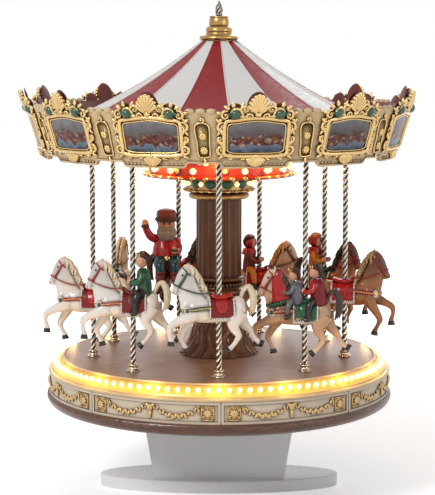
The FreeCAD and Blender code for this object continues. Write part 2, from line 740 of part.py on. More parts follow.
def make_movement_frame():
    end = CYLINDER_START + CYLINDER_LENGTH
    bed_top = PLATE_TOP + 2.0
    bed = box(-16.0, end + 10.0, BARREL_Y - 27.0, BARREL_Y + 15.0, PLATE_TOP, bed_top)
    arbor_hole = rod(ARBOR_RADIUS + RUNNING_GAP, PLATE_TOP - 1.0, bed_top + 1.0, 0, BARREL_Y)
    well = box(
        CYLINDER_START - 1.0,
        end + 5.5,
        BARREL_Y - WHEEL_RADIUS - 1.0,
        BARREL_Y + WHEEL_RADIUS + 1.0,
        PLATE_TOP - 1.0,
        bed_top + 1.0,
    )
    bearing = box(0, 1.8, -3.0, 3.0, bed_top, CYLINDER_Z + 3.0)
    shaft_hole = rod(1.2 + RUNNING_GAP, 0, 80.0)
    bearings = [moved(bearing, x, BARREL_Y) for x in (CYLINDER_START - 2.6, end + 5.7)]
    comb_rest = box(
        CYLINDER_START,
        end,
        BARREL_Y - CYLINDER_RADIUS - COMB_LENGTH - 1.0,
        BARREL_Y - CYLINDER_RADIUS - COMB_LENGTH + 6.0,
        bed_top,
        CYLINDER_Z - COMB_THICKNESS / 2,
    )
    fan_y = fan_centre_y()
    fan_block = box(end + 1.6, end + 5.0, fan_y - 2.0, fan_y + 2.0, bed_top, bed_top + 2.0)
    fan_hole = rod(WORM_RADIUS * 0.6 + RUNNING_GAP, bed_top + 0.4, bed_top + 3.0, end + 3.3, fan_y)
    frame = one_solid([bed.cut(well), comb_rest, fan_block] + bearings)
    parts["movement_frame"] = frame.cut([arbor_hole, along_x(shaft_hole, 5.0), fan_hole])
    teeth_start = BARREL_Y - CYLINDER_RADIUS - 0.5
    comb = box(
        CYLINDER_START,
        end,
        teeth_start - COMB_LENGTH,
        teeth_start,
        CYLINDER_Z - COMB_THICKNESS / 2,
        CYLINDER_Z + COMB_THICKNESS / 2,
    )
    pitch = CYLINDER_LENGTH / COMB_TEETH
    slots = []
    for index in range(1, COMB_TEETH):
        x = CYLINDER_START + pitch * index
        root = teeth_start - COMB_LENGTH * (0.45 + 0.2 * index / COMB_TEETH)
        slots.append(
            box(x - COMB_SLOT / 2, x + COMB_SLOT / 2, root, teeth_start + 1.0, CYLINDER_Z - 2.0, CYLINDER_Z + 2.0)
        )
    parts["tuning_comb"] = comb.cut(slots)


def fan_centre_y():
    return BARREL_Y + WHEEL_RADIUS + WORM_RADIUS + MOVING_GAP


def make_governor():
    end = CYLINDER_START + CYLINDER_LENGTH
    x, y = end + 3.3, fan_centre_y()
    low = PLATE_TOP + 2.4 + RUNNING_GAP
    worm_low = PLATE_TOP + 4.0 + MOVING_GAP
    top = GEAR_BOTTOM - 1.0
    pieces = [
        rod(WORM_RADIUS * 0.6, low, worm_low + 1.0, x, y),
        rod(WORM_RADIUS, worm_low, top, x, y),
        box(x - FAN_WIDTH / 2, x + FAN_WIDTH / 2, y - 0.3, y + 0.3, top - FAN_HEIGHT, top - 0.5),
    ]
    parts["governor_fan"] = one_solid(pieces)


def make_winding_key():
    stem_bottom = BASE_BOTTOM - KEY_STEM
    wing = outline(
        [
            (-3.0, stem_bottom),
            (-KEY_WIDTH / 2, stem_bottom - 2.0, -KEY_WIDTH / 2, stem_bottom - KEY_HEIGHT / 2),
            (-KEY_WIDTH / 2, stem_bottom - KEY_HEIGHT + 1.0, -3.0, stem_bottom - KEY_HEIGHT),
            (0, stem_bottom - KEY_HEIGHT + 3.0, 3.0, stem_bottom - KEY_HEIGHT),
            (KEY_WIDTH / 2, stem_bottom - KEY_HEIGHT + 1.0, KEY_WIDTH / 2, stem_bottom - KEY_HEIGHT / 2),
            (KEY_WIDTH / 2, stem_bottom - 2.0, 3.0, stem_bottom),
        ],
        lambda x, z: Vector(x, -KEY_THICKNESS / 2, z),
    )
    blade = Part.Face(wing).extrude(Vector(0, KEY_THICKNESS, 0))
    eye = Part.makeCylinder(3.2, KEY_THICKNESS + 2.0, ORIGIN, Vector(0, 1, 0))
    eyes = [moved(eye, x, -KEY_THICKNESS / 2 - 1.0, stem_bottom - KEY_HEIGHT / 2) for x in (-7.4, 7.4)]
    stem = rod(3.6, stem_bottom - 2.0, BASE_BOTTOM - MOVING_GAP)
    arbor = rod(ARBOR_RADIUS, stem_bottom, BARREL_BOTTOM + ARBOR_DEPTH)
    parts["winding_key"] = moved(one_solid([blade.cut(eyes), stem, arbor]), y=BARREL_Y)


# Lighting supply


def tray_half_sizes():
    half_width = CELL_COUNT * CELL_RADIUS + 0.5 * CELL_COUNT + TRAY_WALL
    half_length = CELL_LENGTH / 2 + 1.0 + TRAY_WALL
    return half_width, half_length


def make_battery_box():
    half_width, half_length = tray_half_sizes()
    height = 2 * CELL_RADIUS - PLATE_THICKNESS + COVER_THICKNESS + TRAY_WALL + 0.6
    shell = box(
        -half_width,
        half_width,
        TRAY_CENTRE_Y - half_length,
        TRAY_CENTRE_Y + half_length,
        PLATE_TOP,
        PLATE_TOP + height,
    )
    hollow = box(
        -half_width + TRAY_WALL,
        half_width - TRAY_WALL,
        TRAY_CENTRE_Y - half_length + TRAY_WALL,
        TRAY_CENTRE_Y + half_length - TRAY_WALL,
        PLATE_TOP - 1.0,
        PLATE_TOP + height - TRAY_WALL,
    )
    parts["battery_box"] = shell.cut(hollow)


def make_switch():
    """A lever that slides in a slot of the base plate, stored at its off end."""
    off = SWITCH_X - SWITCH_TRAVEL / 2
    half_length, half_width = SWITCH_LENGTH / 2, SWITCH_WIDTH / 2
    carriage = PLATE_TOP + SLIDE_GAP
    lever = box(
        off - half_length,
        off + half_length,
        SWITCH_Y - half_width,
        SWITCH_Y + half_width,
        BASE_BOTTOM - SWITCH_HEIGHT,
        carriage + SWITCH_HEIGHT / 2,
    )
    slider = box(
        off - SWITCH_LENGTH - SWITCH_TRAVEL,
        off + SWITCH_LENGTH + SWITCH_TRAVEL,
        SWITCH_Y - SWITCH_WIDTH,
        SWITCH_Y + SWITCH_WIDTH,
        carriage,
        carriage + SWITCH_HEIGHT,
    )
    parts["light_switch"] = one_solid([lever, slider])


# Centre column


def lobed_ring(radius, lobe, height):
    """A closed curve that swells and dips about a circle, as carved leaves do."""
    points = []
    steps = 4 * COLUMN_BASE_LOBES
    for index in range(steps):
        angle = 360.0 / steps * index
        swell = lobe * math.cos(math.radians(COLUMN_BASE_LOBES * angle))
        points.append(spot(radius + swell, angle, height))
    curve = Part.BSplineCurve()
    curve.interpolate(points, PeriodicFlag=True)
    return Part.Wire([curve.toShape()])


def make_column():
    bore = rod(SHAFT_RADIUS + SEAT_GAP, DECK_TOP - 1.0, CEILING_BOTTOM + 1.0)
    shares = [(0.0, 1.0, 1.5), (0.12, 0.9, 1.6), (0.35, 0.66, 1.2), (0.62, 0.56, 0.9), (0.8, 0.6, 1.1)]
    rings = [
        lobed_ring(COLUMN_BASE_RADIUS * width, lobe, DECK_TOP + COLUMN_BASE_HEIGHT * share) for share, width, lobe in shares
    ]
    skirt_top = DECK_TOP + COLUMN_BASE_HEIGHT * shares[-1][0]
    skirt = Part.makeLoft(rings, True, False)
    collar = lathe(
        [
            (0, skirt_top - 2.0),
            (COLUMN_RADIUS - 1.0, skirt_top - 2.0),
            (COLUMN_RADIUS + 3.4, skirt_top, COLUMN_RADIUS + 1.2, skirt_top + 2.6),
            (COLUMN_RADIUS - 1.0, skirt_top + 4.2),
            (COLUMN_RADIUS - 0.6, COLUMN_BASE_TOP - 4.0),
            (COLUMN_RADIUS + 3.0, COLUMN_BASE_TOP - 2.6, COLUMN_RADIUS + 1.0, COLUMN_BASE_TOP),
            (0, COLUMN_BASE_TOP),
        ]
    )
    parts["column_base"] = one_solid([skirt, collar]).cut(bore)
    flute_half = math.radians(360.0 / FLUTE_COUNT * 0.32)
    points = []
    for index in range(FLUTE_COUNT):
        centre = 2 * math.pi * index / FLUTE_COUNT
        pitch = 2 * math.pi / FLUTE_COUNT

        def at(radius, angle):
            return (radius * math.cos(angle), radius * math.sin(angle))

        start = at(COLUMN_RADIUS, centre - flute_half)
        points.append(start if index == 0 else at(COLUMN_RADIUS, centre - pitch / 2) + start)
        points.append(at(COLUMN_RADIUS - FLUTE_DEPTH, centre) + at(COLUMN_RADIUS, centre + flute_half))
    last = 2 * math.pi - math.pi / FLUTE_COUNT
    points.append(at(COLUMN_RADIUS, last) + points[0])
    fluted = Part.Face(outline(points, lambda x, y: Vector(x, y, COLUMN_BASE_TOP)))
    shaft = fluted.extrude(Vector(0, 0, COLUMN_HEIGHT))
    parts["column_shaft"] = shaft.cut(bore)
    band_bottom = COLUMN_TOP + 6.0
    parts["column_capital"] = lathe(
        [
            (SHAFT_RADIUS + SEAT_GAP, COLUMN_TOP),
            (COLUMN_RADIUS + 2.0, COLUMN_TOP),
            (COLUMN_RADIUS + 6.0, COLUMN_TOP + 1.0, COLUMN_RADIUS + 5.0, COLUMN_TOP + 3.0),
            (COLUMN_RADIUS + 3.4, COLUMN_TOP + 4.4),
            (CAPITAL_RADIUS, band_bottom - 0.6),
            (CAPITAL_RADIUS, band_bottom),
            (CAPITAL_RADIUS - 1.2, band_bottom + 0.8),
            (CAPITAL_RADIUS - 1.2, INNER_CROWN_BOTTOM - 1.0),
            (CAPITAL_RADIUS, INNER_CROWN_BOTTOM),
            (SHAFT_RADIUS + SEAT_GAP, INNER_CROWN_BOTTOM),
        ]
    )
    band = INNER_CROWN_RADIUS - 4.0
    floor = INNER_CROWN_BOTTOM + 3.0
    parts["inner_crown"] = lathe(
        [
            (SHAFT_RADIUS + SEAT_GAP, INNER_CROWN_BOTTOM),
            (INNER_CROWN_RADIUS - 1.0, INNER_CROWN_BOTTOM),
            (INNER_CROWN_RADIUS + 0.4, INNER_CROWN_BOTTOM + 1.2, INNER_CROWN_RADIUS - 1.0, INNER_CROWN_BOTTOM + 2.6),
            (band, floor),
            (band, CEILING_BOTTOM - 3.6),
            (INNER_CROWN_RADIUS, CEILING_BOTTOM - 2.4),
            (INNER_CROWN_RADIUS, CEILING_BOTTOM),
            (band - 3.0, CEILING_BOTTOM),
            (band - 3.0, floor),
            (SHAFT_RADIUS + SEAT_GAP, floor),
        ]
    )
    band_middle = (floor + CEILING_BOTTOM - 3.6) / 2
    lamps = []
    for row in (-1, 1):
        lamp = bulb_on(BULB_RADIUS, band + SEAT_GAP, band_middle + 3.3 * row, 90.0)
        first = 180.0 / INNER_BULB_COUNT * (1 - row)
        lamps += around(lamp, INNER_BULB_COUNT // 2, first)
    lamp = bulb_on(BULB_RADIUS, CAPITAL_RADIUS - 1.2 + SEAT_GAP, (band_bottom + INNER_CROWN_BOTTOM) / 2, 90.0)
    parts["crown_bulbs"] = group(lamps + around(lamp, CAPITAL_BULB_COUNT))


# Canopy


def crown_radius(height, offset=0.0):
    """The radius of the flared crown wall at a height, moved outwards by an offset."""
    slope = math.atan2(CROWN_FLARE, CROWN_HEIGHT)
    return CROWN_BOTTOM_RADIUS + (height - CROWN_BOTTOM) * CROWN_FLARE / CROWN_HEIGHT + offset / math.cos(slope)


def crown_layer(inner, outer, bottom, top):
    """A flared ring between two offsets from the crown wall's outer face."""
    return lathe(
        [
            (crown_radius(bottom, inner), bottom),
            (crown_radius(bottom, outer), bottom),
            (crown_radius(top, outer), top),
            (crown_radius(top, inner), top),
        ]
    )


def crown_relief(points, inner, outer):
    """A piece of a flared layer at the front, from an outline of (sideways, above the crown's bottom) points."""
    wire = outline(points, lambda side, up: Vector(side, -CROWN_BOTTOM_RADIUS - 40.0, CROWN_BOTTOM + up))
    prism = Part.Face(wire).extrude(Vector(0, 80.0, 0))
    layer = crown_layer(inner, outer, prism.BoundBox.ZMin - 0.5, prism.BoundBox.ZMax + 0.5)
    return prism.common(layer)


def picture_outline(grow):
    """The lobed outline of a picture, larger all round by grow."""
    half = PICTURE_WIDTH / 2 + grow
    low, high = PICTURE_RISE - grow, PICTURE_RISE + PICTURE_HEIGHT + grow
    return [
        (-half + 2.5, low),
        (0, low - 0.8, half - 2.5, low),
        (half - 0.4, low + 6.0, half, high - 4.0),
        (half - 2.0, high - 1.4, half - 5.0, high - 1.0),
        (0, high + 0.8, -half + 5.0, high - 1.0),
        (-half + 2.0, high - 1.4, -half, high - 4.0),
        (-half + 0.4, low + 6.0, -half + 2.5, low),
    ]


def make_crown():
    inner = -CROWN_THICKNESS
    bottom, top = CROWN_BOTTOM - CROWN_DROP, CROWN_TOP
    wall = crown_layer(inner, 0.0, bottom, top)
    ledge = tube(
        crown_radius(CROWN_BOTTOM, inner / 2),
        crown_radius(CROWN_BOTTOM, inner) - LEDGE_WIDTH,
        CROWN_BOTTOM,
        CEILING_BOTTOM,
    )
    half = PICTURE_WIDTH / 2 + FRAME_WIDTH
    gap = math.pi * CROWN_BOTTOM_RADIUS / CROWN_PANEL_COUNT - half
    scallop = [
        (-gap - 3.0, -CROWN_DROP - 1.0),
        (gap + 3.0, -CROWN_DROP - 1.0),
        (gap - 1.0, 0),
        (-gap + 1.0, 0),
    ]
    cut = crown_relief(scallop, inner - 1.0, 1.0)
    first_gap = CROWN_FIRST_PANEL + 180.0 / CROWN_PANEL_COUNT
    parts["crown_ring"] = wall.fuse(ledge).cut(around(cut, CROWN_PANEL_COUNT, first_gap))

    def each_panel(piece):
        return group(around(piece, CROWN_PANEL_COUNT, CROWN_FIRST_PANEL))

    picture = crown_relief(picture_outline(0.0), 0.0, PICTURE_DEPTH)
    outer = crown_relief(picture_outline(FRAME_WIDTH), 0.0, FRAME_DEPTH)
    hole = crown_relief(picture_outline(0.0), -1.0, FRAME_DEPTH + 1.0)
    parts["crown_pictures"] = each_panel(picture)
    parts["crown_frames"] = each_panel(outer.cut(hole))
    make_crown_ornaments(each_panel)


def fan_outline(half_width, low, height, lobes):
    """A scallop shell: a foot at the bottom and round lobes along the top."""
    points = [(-half_width * 0.35, low), (half_width * 0.35, low)]
    tips = []
    for index in range(lobes + 1):
        turn = math.radians(15.0 + 150.0 * index / lobes)
        tips.append((half_width * math.cos(turn), low + height * (0.3 + 0.6 * math.sin(turn))))
    points.append(tips[0])
    for before, after in zip(tips, tips[1:]):
        middle = ((before[0] + after[0]) / 2, (before[1] + after[1]) / 2)
        points.append((middle[0] * 1.12, low + (middle[1] - low) * 1.14) + after)
    return points


def on_crown(shape, side, up, offset):
    """A shape standing on z = 0 laid against the flared crown wall at the front, off to one side."""
    slope = math.degrees(math.atan2(CROWN_FLARE, CROWN_HEIGHT))
    copy = shape.copy()
    copy.rotate(ORIGIN, Vector(1, 0, 0), 90.0 + slope)
    height = CROWN_BOTTOM + up
    radius = crown_radius(height, offset)
    return turned_to(moved(copy, y=-radius, z=height), math.degrees(side / radius))


def make_crown_ornaments(each_panel):
    frame_top = PICTURE_RISE + PICTURE_HEIGHT + FRAME_WIDTH
    crest_base = frame_top + 1.2
    crest = crown_relief(fan_outline(CREST_WIDTH / 2, crest_base, CREST_HEIGHT, 5), -CROWN_THICKNESS, CREST_DEPTH)
    scroll = [
        (CREST_WIDTH / 2 - 6.0, crest_base),
        (half_frame() - 3.0, crest_base),
        (half_frame() + 1.5, crest_base + 3.4, half_frame() - 5.0, crest_base + 5.2),
        (CREST_WIDTH / 2, crest_base + 8.8, CREST_WIDTH / 2 - 6.0, crest_base + 4.0),
    ]
    mirrored = [tuple(-x if index % 2 == 0 else x for index, x in enumerate(point)) for point in scroll]
    scrolls = [crown_relief(shape, -CROWN_THICKNESS, 0.6) for shape in (scroll, mirrored)]
    rim = crown_layer(-CROWN_THICKNESS - 1.0, 0.0, CROWN_BOTTOM, CROWN_TOP)
    crest = one_solid([crest] + scrolls).cut(rim)
    shell_height = PICTURE_RISE - FRAME_WIDTH + CROWN_DROP - 1.6
    shell = crown_relief(fan_outline(5.4, -CROWN_DROP + 0.6, shell_height, 5), 0.0, 1.8)
    stud = dome(ROSETTE_RADIUS, ROSETTE_HEIGHT)
    gap = math.pi * (CROWN_BOTTOM_RADIUS + CROWN_FLARE / 2) / CROWN_PANEL_COUNT
    studs = [on_crown(stud, gap, up, SEAT_GAP) for up in (9.0, 19.0)]
    parts["crown_ornaments"] = each_panel(group([crest, shell] + studs))
    gem = dome(JEWEL_RADIUS, JEWEL_HEIGHT)
    gems = [on_crown(gem, side, crest_base + 1.0, FRAME_DEPTH + SEAT_GAP) for side in (-JEWEL_SPREAD, JEWEL_SPREAD)]
    parts["crown_jewels"] = each_panel(group(gems))


def half_frame():
    return PICTURE_WIDTH / 2 + FRAME_WIDTH


def make_ceiling():
    radius = crown_radius(CEILING_BOTTOM, -CROWN_THICKNESS) - 2 * SEAT_GAP
    disc = rod(radius, CEILING_BOTTOM, CEILING_TOP)
    collar = rod(POLE_HOLE_RADIUS + 2.2, CEILING_BOTTOM - 2.0, CEILING_TOP + 2.0, 0, -POLE_RING_RADIUS)
    hole = rod(POLE_HOLE_RADIUS, CEILING_BOTTOM - 3.0, CEILING_TOP + 3.0, 0, -POLE_RING_RADIUS)
    bore = rod(SHAFT_RADIUS + SEAT_GAP, CEILING_BOTTOM - 3.0, CEILING_TOP + 3.0)
    parts["ceiling"] = disc.multiFuse(around(collar, POLE_COUNT)).cut(around(hole, POLE_COUNT) + [bore])


def roof_section(low, high):
    """The swept section of the roof between two heights above its outer face, inside the flared crown."""
    rim = crown_radius(ROOF_RIM - ROOF_THICKNESS, -CROWN_THICKNESS) - 2 * SEAT_GAP
    middle = ((rim + ROOF_TOP_RADIUS) / 2 - ROOF_SAG / 2, (ROOF_RIM + ROOF_TOP) / 2 - ROOF_SAG)
    return [
        (rim, ROOF_RIM + low),
        (rim, ROOF_RIM + high),
        (middle[0], middle[1] + high, ROOF_TOP_RADIUS, ROOF_TOP + high),
        (ROOF_TOP_RADIUS, ROOF_TOP + low),
        (middle[0], middle[1] + low, rim, ROOF_RIM + low),
    ]


def make_roof():
    pitch = 360.0 / GORE_COUNT
    gore = lathe(roof_section(-ROOF_THICKNESS, 0.0), pitch)
    seams = [GORE_FIRST_SEAM + pitch * index for index in range(GORE_COUNT)]
    parts["white_gores"] = group([turned_to(gore, angle) for angle in seams[0::2]])
    parts["red_gores"] = group([turned_to(gore, angle) for angle in seams[1::2]])
    rib = lathe(roof_section(0.0, RIB_HEIGHT), RIB_ANGLE, -RIB_ANGLE / 2)
    parts["roof_ribs"] = group([turned_to(rib, angle) for angle in seams])


def make_finial():
    cap_bottom = ROOF_TOP - ROOF_THICKNESS
    step = ROOF_TOP_RADIUS - SEAT_GAP
    base = ROOF_TOP + RIB_HEIGHT + SEAT_GAP
    top = ROOF_TOP + FINIAL_HEIGHT
    parts["finial_cap"] = lathe(
        [
            (SHAFT_RADIUS + SEAT_GAP, cap_bottom),
            (step, cap_bottom),
            (step, base),
            (FINIAL_RADIUS - 0.6, base),
            (FINIAL_RADIUS + 0.8, base + 1.8, FINIAL_RADIUS - 1.2, base + 3.4),
            (FINIAL_RADIUS - 4.2, base + 4.4, FINIAL_RADIUS - 4.6, base + 6.0),
            (FINIAL_RADIUS - 4.2, base + 8.2, FINIAL_RADIUS - 5.6, base + 10.2),
            (FINIAL_RADIUS - 7.2, base + 10.8),
            (FINIAL_RADIUS - 6.8, base + 13.5, FINIAL_RADIUS - 7.4, top - 1.6),
            (FINIAL_RADIUS - 7.2, top - 0.4, FINIAL_RADIUS - 8.4, top),
            (0, top),
            (0, top - 4.0 + SEAT_GAP),
            (SHAFT_RADIUS + SEAT_GAP, top - 4.0 + SEAT_GAP),
        ]
    )
    rings = []
    for share, width, turn in ((0, 0.6, 0), (0.3, 1.0, 60), (0.6, 0.8, 130), (0.85, 0.4, 190), (1.0, 0.1, 220)):
        lean = FLAME_RADIUS * 0.25 * math.sin(math.pi * share)
        side = Vector(math.cos(math.radians(turn)), math.sin(math.radians(turn)), 0)
        centre = Vector(lean, 0, top + FLAME_HEIGHT * share)
        rings.append(oval_ring(centre, AXIS, side, FLAME_RADIUS * width, FLAME_RADIUS * width * 0.55))
    parts["finial_flame"] = Part.makeLoft(rings, True, False)


# Horses on their poles


def twisted_pole():
    """A square bar twisted along its length, faceted, with its corners on the pole's radius."""
    rings = round(POLE_LENGTH / POLE_TWIST_PITCH * POLE_RINGS_PER_TURN)

    def corner(ring, side):
        height = POLE_LENGTH * ring / rings
        turn = 2 * math.pi * (height / POLE_TWIST_PITCH + side / 4)
        return Vector(POLE_RADIUS * math.cos(turn), POLE_RADIUS * math.sin(turn), POLE_BOTTOM + height)

    def facet(*corners):
        return Part.Face(Part.makePolygon(list(corners) + [corners[0]]))

    faces = [facet(*[corner(end, side) for side in range(4)]) for end in (0, rings)]
    for ring in range(rings):
        for side in range(4):
            low, low_next = corner(ring, side), corner(ring, side + 1)
            high, high_next = corner(ring + 1, side), corner(ring + 1, side + 1)
            faces += [facet(low, low_next, high), facet(low_next, high_next, high)]
    shell = Part.Shell(faces)
    shell.sewShape()
    solid = Part.Solid(shell)
    if solid.Volume < 0:
        solid.reverse()
    return solid


def horse_body():
    """A galloping horse facing +X, its pole through the origin, its barrel about z = 0."""
    torso = limb(
        [
            (-19, 0, 2.5, 3.2, 4.2),
            (-16, 0, 2.2, 6.8, 8.4),
            (-8, 0, 0.6, 7.8, 9.0),
            (4, 0, 0.2, 8.0, 9.2),
            (15, 0, 1.4, 7.6, 9.6),
            (22, 0, 3.2, 5.8, 8.0),
            (25.5, 0, 4.6, 3.0, 4.4),
        ]
    )
    neck = limb([(18, 0, 4, 5.8, 9.0), (21.5, 0, 12, 4.8, 8.0), (23, 0, 20, 3.8, 6.4), (23.4, 0, 27, 2.9, 4.6)])
    head = limb(
        [
            (21.5, 0, 31, 1.8, 2.4),
            (24.5, 0, 29.5, 3.1, 4.2),
            (28.5, 0, 24.5, 2.9, 3.6),
            (31.5, 0, 19, 2.2, 2.6),
            (33, 0, 15, 2.1, 2.4),
            (33.6, 0, 13.6, 1.1, 1.3),
        ]
    )
    ears = [
        limb([(22.6, y, 31, 0.5, 1.2), (22.4, y, 33.8, 0.45, 0.9), (22.9, 1.1 * y, 36.5, 0.15, 0.2)])
        for y in (-1.8, 1.8)
    ]
    tail = limb(
        [
            (-15, 0, 7, 2.0, 2.2),
            (-17.5, 0, 14.5, 2.2, 2.6),
            (-22, 0, 18, 2.2, 3.0),
            (-26, 0, 12, 2.4, 3.4),
            (-25.8, 0, 3, 2.0, 3.0),
            (-24.5, 0, -4, 0.8, 1.2),
        ]
    )
    mane = limb([(12, 0, 9, 1.4, 3.5), (14, 0, 17, 1.8, 4.5), (16.5, 0, 25, 1.7, 4.2), (20.5, 0, 31.5, 1.0, 2.4)])
    saddle = limb([(-9.5, 0, 1.2, 8.2, 9.2), (-5, 0, 1, 8.7, 9.9), (3, 0, 0.8, 8.8, 9.9), (7.5, 0, 0.8, 8.5, 9.6)])
    return one_solid([torso, neck, head, tail, mane, saddle] + ears + horse_legs())


def horse_legs():
    """Both forelegs and both hind legs in a gallop, each from shoulder or hip to hoof."""
    near, far = LEG_SPREAD, -LEG_SPREAD
    return [
        limb(
            [
                (20, 0.85 * near, -2, 3.4, 4.2),
                (30, near, -6, 2.5, 2.9),
                (37, near, -10, 2.0, 2.2),
                (37.5, near, -17, 1.5),
                (36, near, -21, 1.6),
                (36.5, near, -23.5, 2.3),
            ]
        ),
        limb(
            [
                (19, 0.85 * far, -2, 3.3, 4.0),
                (24.5, far, -12, 2.5, 2.9),
                (28, far, -18.5, 2.0, 2.2),
                (26.5, far, -24, 1.5),
                (24.5, far, -27.5, 1.6),
                (24, far, -30, 2.3),
            ]
        ),
        limb(
            [
                (-13, 0.85 * near, -1, 3.8, 6.0),
                (-9, near, -11, 3.0, 4.0),
                (-14, near, -18, 2.0, 2.4),
                (-11, near, -24, 1.6),
                (-8, near, -27.5, 1.6),
                (-6, near, -29.5, 2.3),
            ]
        ),
        limb(
            [
                (-15, 0.85 * far, -1, 3.8, 6.0),
                (-18, far, -10, 3.0, 3.8),
                (-24, far, -15.5, 2.0, 2.4),
                (-26.5, far, -21, 1.6),
                (-30, far, -24.5, 1.6),
                (-33, far, -26, 2.3),
            ]
        ),
    ]


def rider_body(scale, hat):
    """A seated figure facing +X, its seat on z = 0 at the origin, its legs astride the saddle."""

    def at(stations):
        return [tuple(value * scale for value in station) for station in stations]

    torso = limb(
        at([(0, 0, 0, 4.4, 3.8), (0.2, 0, 4, 4.2, 3.6), (0.8, 0, 9, 4.6, 3.4), (1, 0, 12, 3.6, 2.8), (1, 0, 13.6, 1.2, 1.1)])
    )
    head = limb(
        at(
            [
                (1.3, 0, 11, 1.9, 1.8),
                (1.4, 0, 14.6, 3.2, 3.4),
                (1.5, 0, 17.6, 3.9, 3.9),
                (1.3, 0, 20.4, 2.9, 3.0),
                (1.1, 0, 20.4 + hat, 0.8, 0.8),
            ]
        )
    )
    limbs = []
    for side in (-1, 1):
        arm = [(0.9, 3.2 * side, 10.9, 1.8), (2, 4.9 * side, 7.2, 1.6), (5, 4.4 * side, 5.8, 1.3), (7.6, 3 * side, 6.4, 1.2)]
        limbs.append(limb(at(arm)))
        knee = side * (SADDLE_HALF_WIDTH + scale)
        limbs.append(
            limb(
                [
                    (0.4 * scale, 2.4 * side * scale, 1.4 * scale, 2.1 * scale),
                    (3.2 * scale, 0.8 * knee, 0.3 * scale, 2.0 * scale),
                    (4.4 * scale, knee, -3.6 * scale, 1.7 * scale),
                    (4.4 * scale, knee, -7.0 * scale, 1.4 * scale),
                    (5.6 * scale, knee, -9.0 * scale, 1.2 * scale),
                ],
                Vector(1, 0, 0),
            )
        )
    return one_solid([torso, head] + limbs)


def make_horses():
    pole = twisted_pole()
    horse = horse_body()
    bored_horse = horse.cut(rod(POLE_RADIUS, -60.0, 60.0))
    pole_room = rod(POLE_RADIUS + SEAT_GAP, -60.0, 90.0)
    middle = DECK_TOP + HORSE_HEIGHT
    for index, angle in enumerate(POLE_ANGLES):
        lift = lift_at(angle)
        name = str(index + 1)
        foot = spot(POLE_RING_RADIUS, angle)
        parts["pole_" + name] = moved(pole, foot.x, foot.y, lift)
        pieces = [bored_horse]
        for scale, hat, seat in RIDERS.get(index, []):
            figure = moved(rider_body(scale, hat), seat, 0, SEAT_HEIGHT)
            pieces.append(figure.cut([horse, pole_room]))
        mount = group(pieces)
        mount.rotate(ORIGIN, AXIS, HORSE_FACING[index])
        parts["horse_" + name] = moved(mount, foot.x, foot.y, middle + lift)


def lift_at(angle):
    """How far above its middle height the cam holds the pole that stands at an angle."""
    return math.cos(math.radians(LIFT_WAVES * angle + LIFT_PHASE)) * LIFT_STROKE / 2


def main():
    make_stand()
    make_base_plate()
    make_base_walls()
    make_rim_bulbs()
    make_garlands()
    make_cam()
    make_deck()
    make_shaft()
    make_drive()
    make_barrel()
    make_pin_cylinder()
    make_movement_frame()
    make_governor()
    make_winding_key()
    make_battery_box()
    make_switch()
    make_column()
    make_crown()
    make_ceiling()
    make_roof()
    make_finial()
    make_horses()
    os.makedirs("parts", exist_ok=True)
    for name, shape in parts.items():
        shape.exportStep("parts/" + name + ".step")
    bad = [name for name, shape in parts.items() if not shape.isValid()]
    print(len(parts), "nodes; not valid:", bad)


main()
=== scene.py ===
import bpy
import json
import math
from mathutils import Matrix, Vector


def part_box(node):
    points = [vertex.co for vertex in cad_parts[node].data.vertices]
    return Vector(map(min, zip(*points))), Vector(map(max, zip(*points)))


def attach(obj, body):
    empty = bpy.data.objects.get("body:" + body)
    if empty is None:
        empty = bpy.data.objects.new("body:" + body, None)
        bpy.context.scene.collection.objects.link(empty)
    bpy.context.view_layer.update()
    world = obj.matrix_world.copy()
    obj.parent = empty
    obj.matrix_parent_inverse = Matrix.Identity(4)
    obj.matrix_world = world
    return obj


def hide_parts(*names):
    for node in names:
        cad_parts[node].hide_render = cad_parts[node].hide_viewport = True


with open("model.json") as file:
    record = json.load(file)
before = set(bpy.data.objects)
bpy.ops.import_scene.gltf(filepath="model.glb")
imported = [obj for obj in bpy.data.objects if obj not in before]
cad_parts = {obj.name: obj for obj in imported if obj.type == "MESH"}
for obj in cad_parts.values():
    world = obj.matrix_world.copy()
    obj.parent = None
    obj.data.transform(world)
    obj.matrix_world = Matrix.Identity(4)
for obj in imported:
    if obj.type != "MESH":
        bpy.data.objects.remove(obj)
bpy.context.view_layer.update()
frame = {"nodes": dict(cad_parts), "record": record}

# Lengths below are millimetres in the shared frame, +Z up and -Y to the front. Angles about the axis are
# measured from the front towards +X.
MM = 0.001


def low(node):
    return Vector(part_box(node)[0]) / MM


def high(node):
    return Vector(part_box(node)[1]) / MM


DECK_TOP = high("deck").z
DECK_RADIUS = high("deck").x
WALL_BOTTOM = low("base_panels").z
WALL_TOP = high("base_panels").z
WALL_RADIUS = high("base_panels").x
PANEL_COUNT = 8
PANEL_FIRST = 0.6 + 22.5
FIELD_RADIUS = WALL_RADIUS - 0.9
CROWN_TOP = high("crown_ring").z
CROWN_HEIGHT = 36.0
CROWN_BOTTOM = CROWN_TOP - CROWN_HEIGHT
CROWN_TOP_RADIUS = high("crown_ring").x
CROWN_FLARE = 11.0
CROWN_PANELS = 12
CROWN_FIRST = 10.5
CEILING_BOTTOM = CROWN_BOTTOM + 2.0
PICTURE_WIDTH, PICTURE_HEIGHT, PICTURE_RISE = 40.0, 20.0, 8.5
PICTURE_TOP = PICTURE_RISE + PICTURE_HEIGHT
HALF_GAP = math.pi * (CROWN_TOP_RADIUS - CROWN_FLARE / 2) / CROWN_PANELS
CROWN_ANGLES = [CROWN_FIRST + 360.0 / CROWN_PANELS * index for index in range(CROWN_PANELS)]
INNER_CROWN_RADIUS, INNER_CROWN_MIDDLE, LAMP_ROW_SHIFT = 54.5, CEILING_BOTTOM - 10.8, 3.3
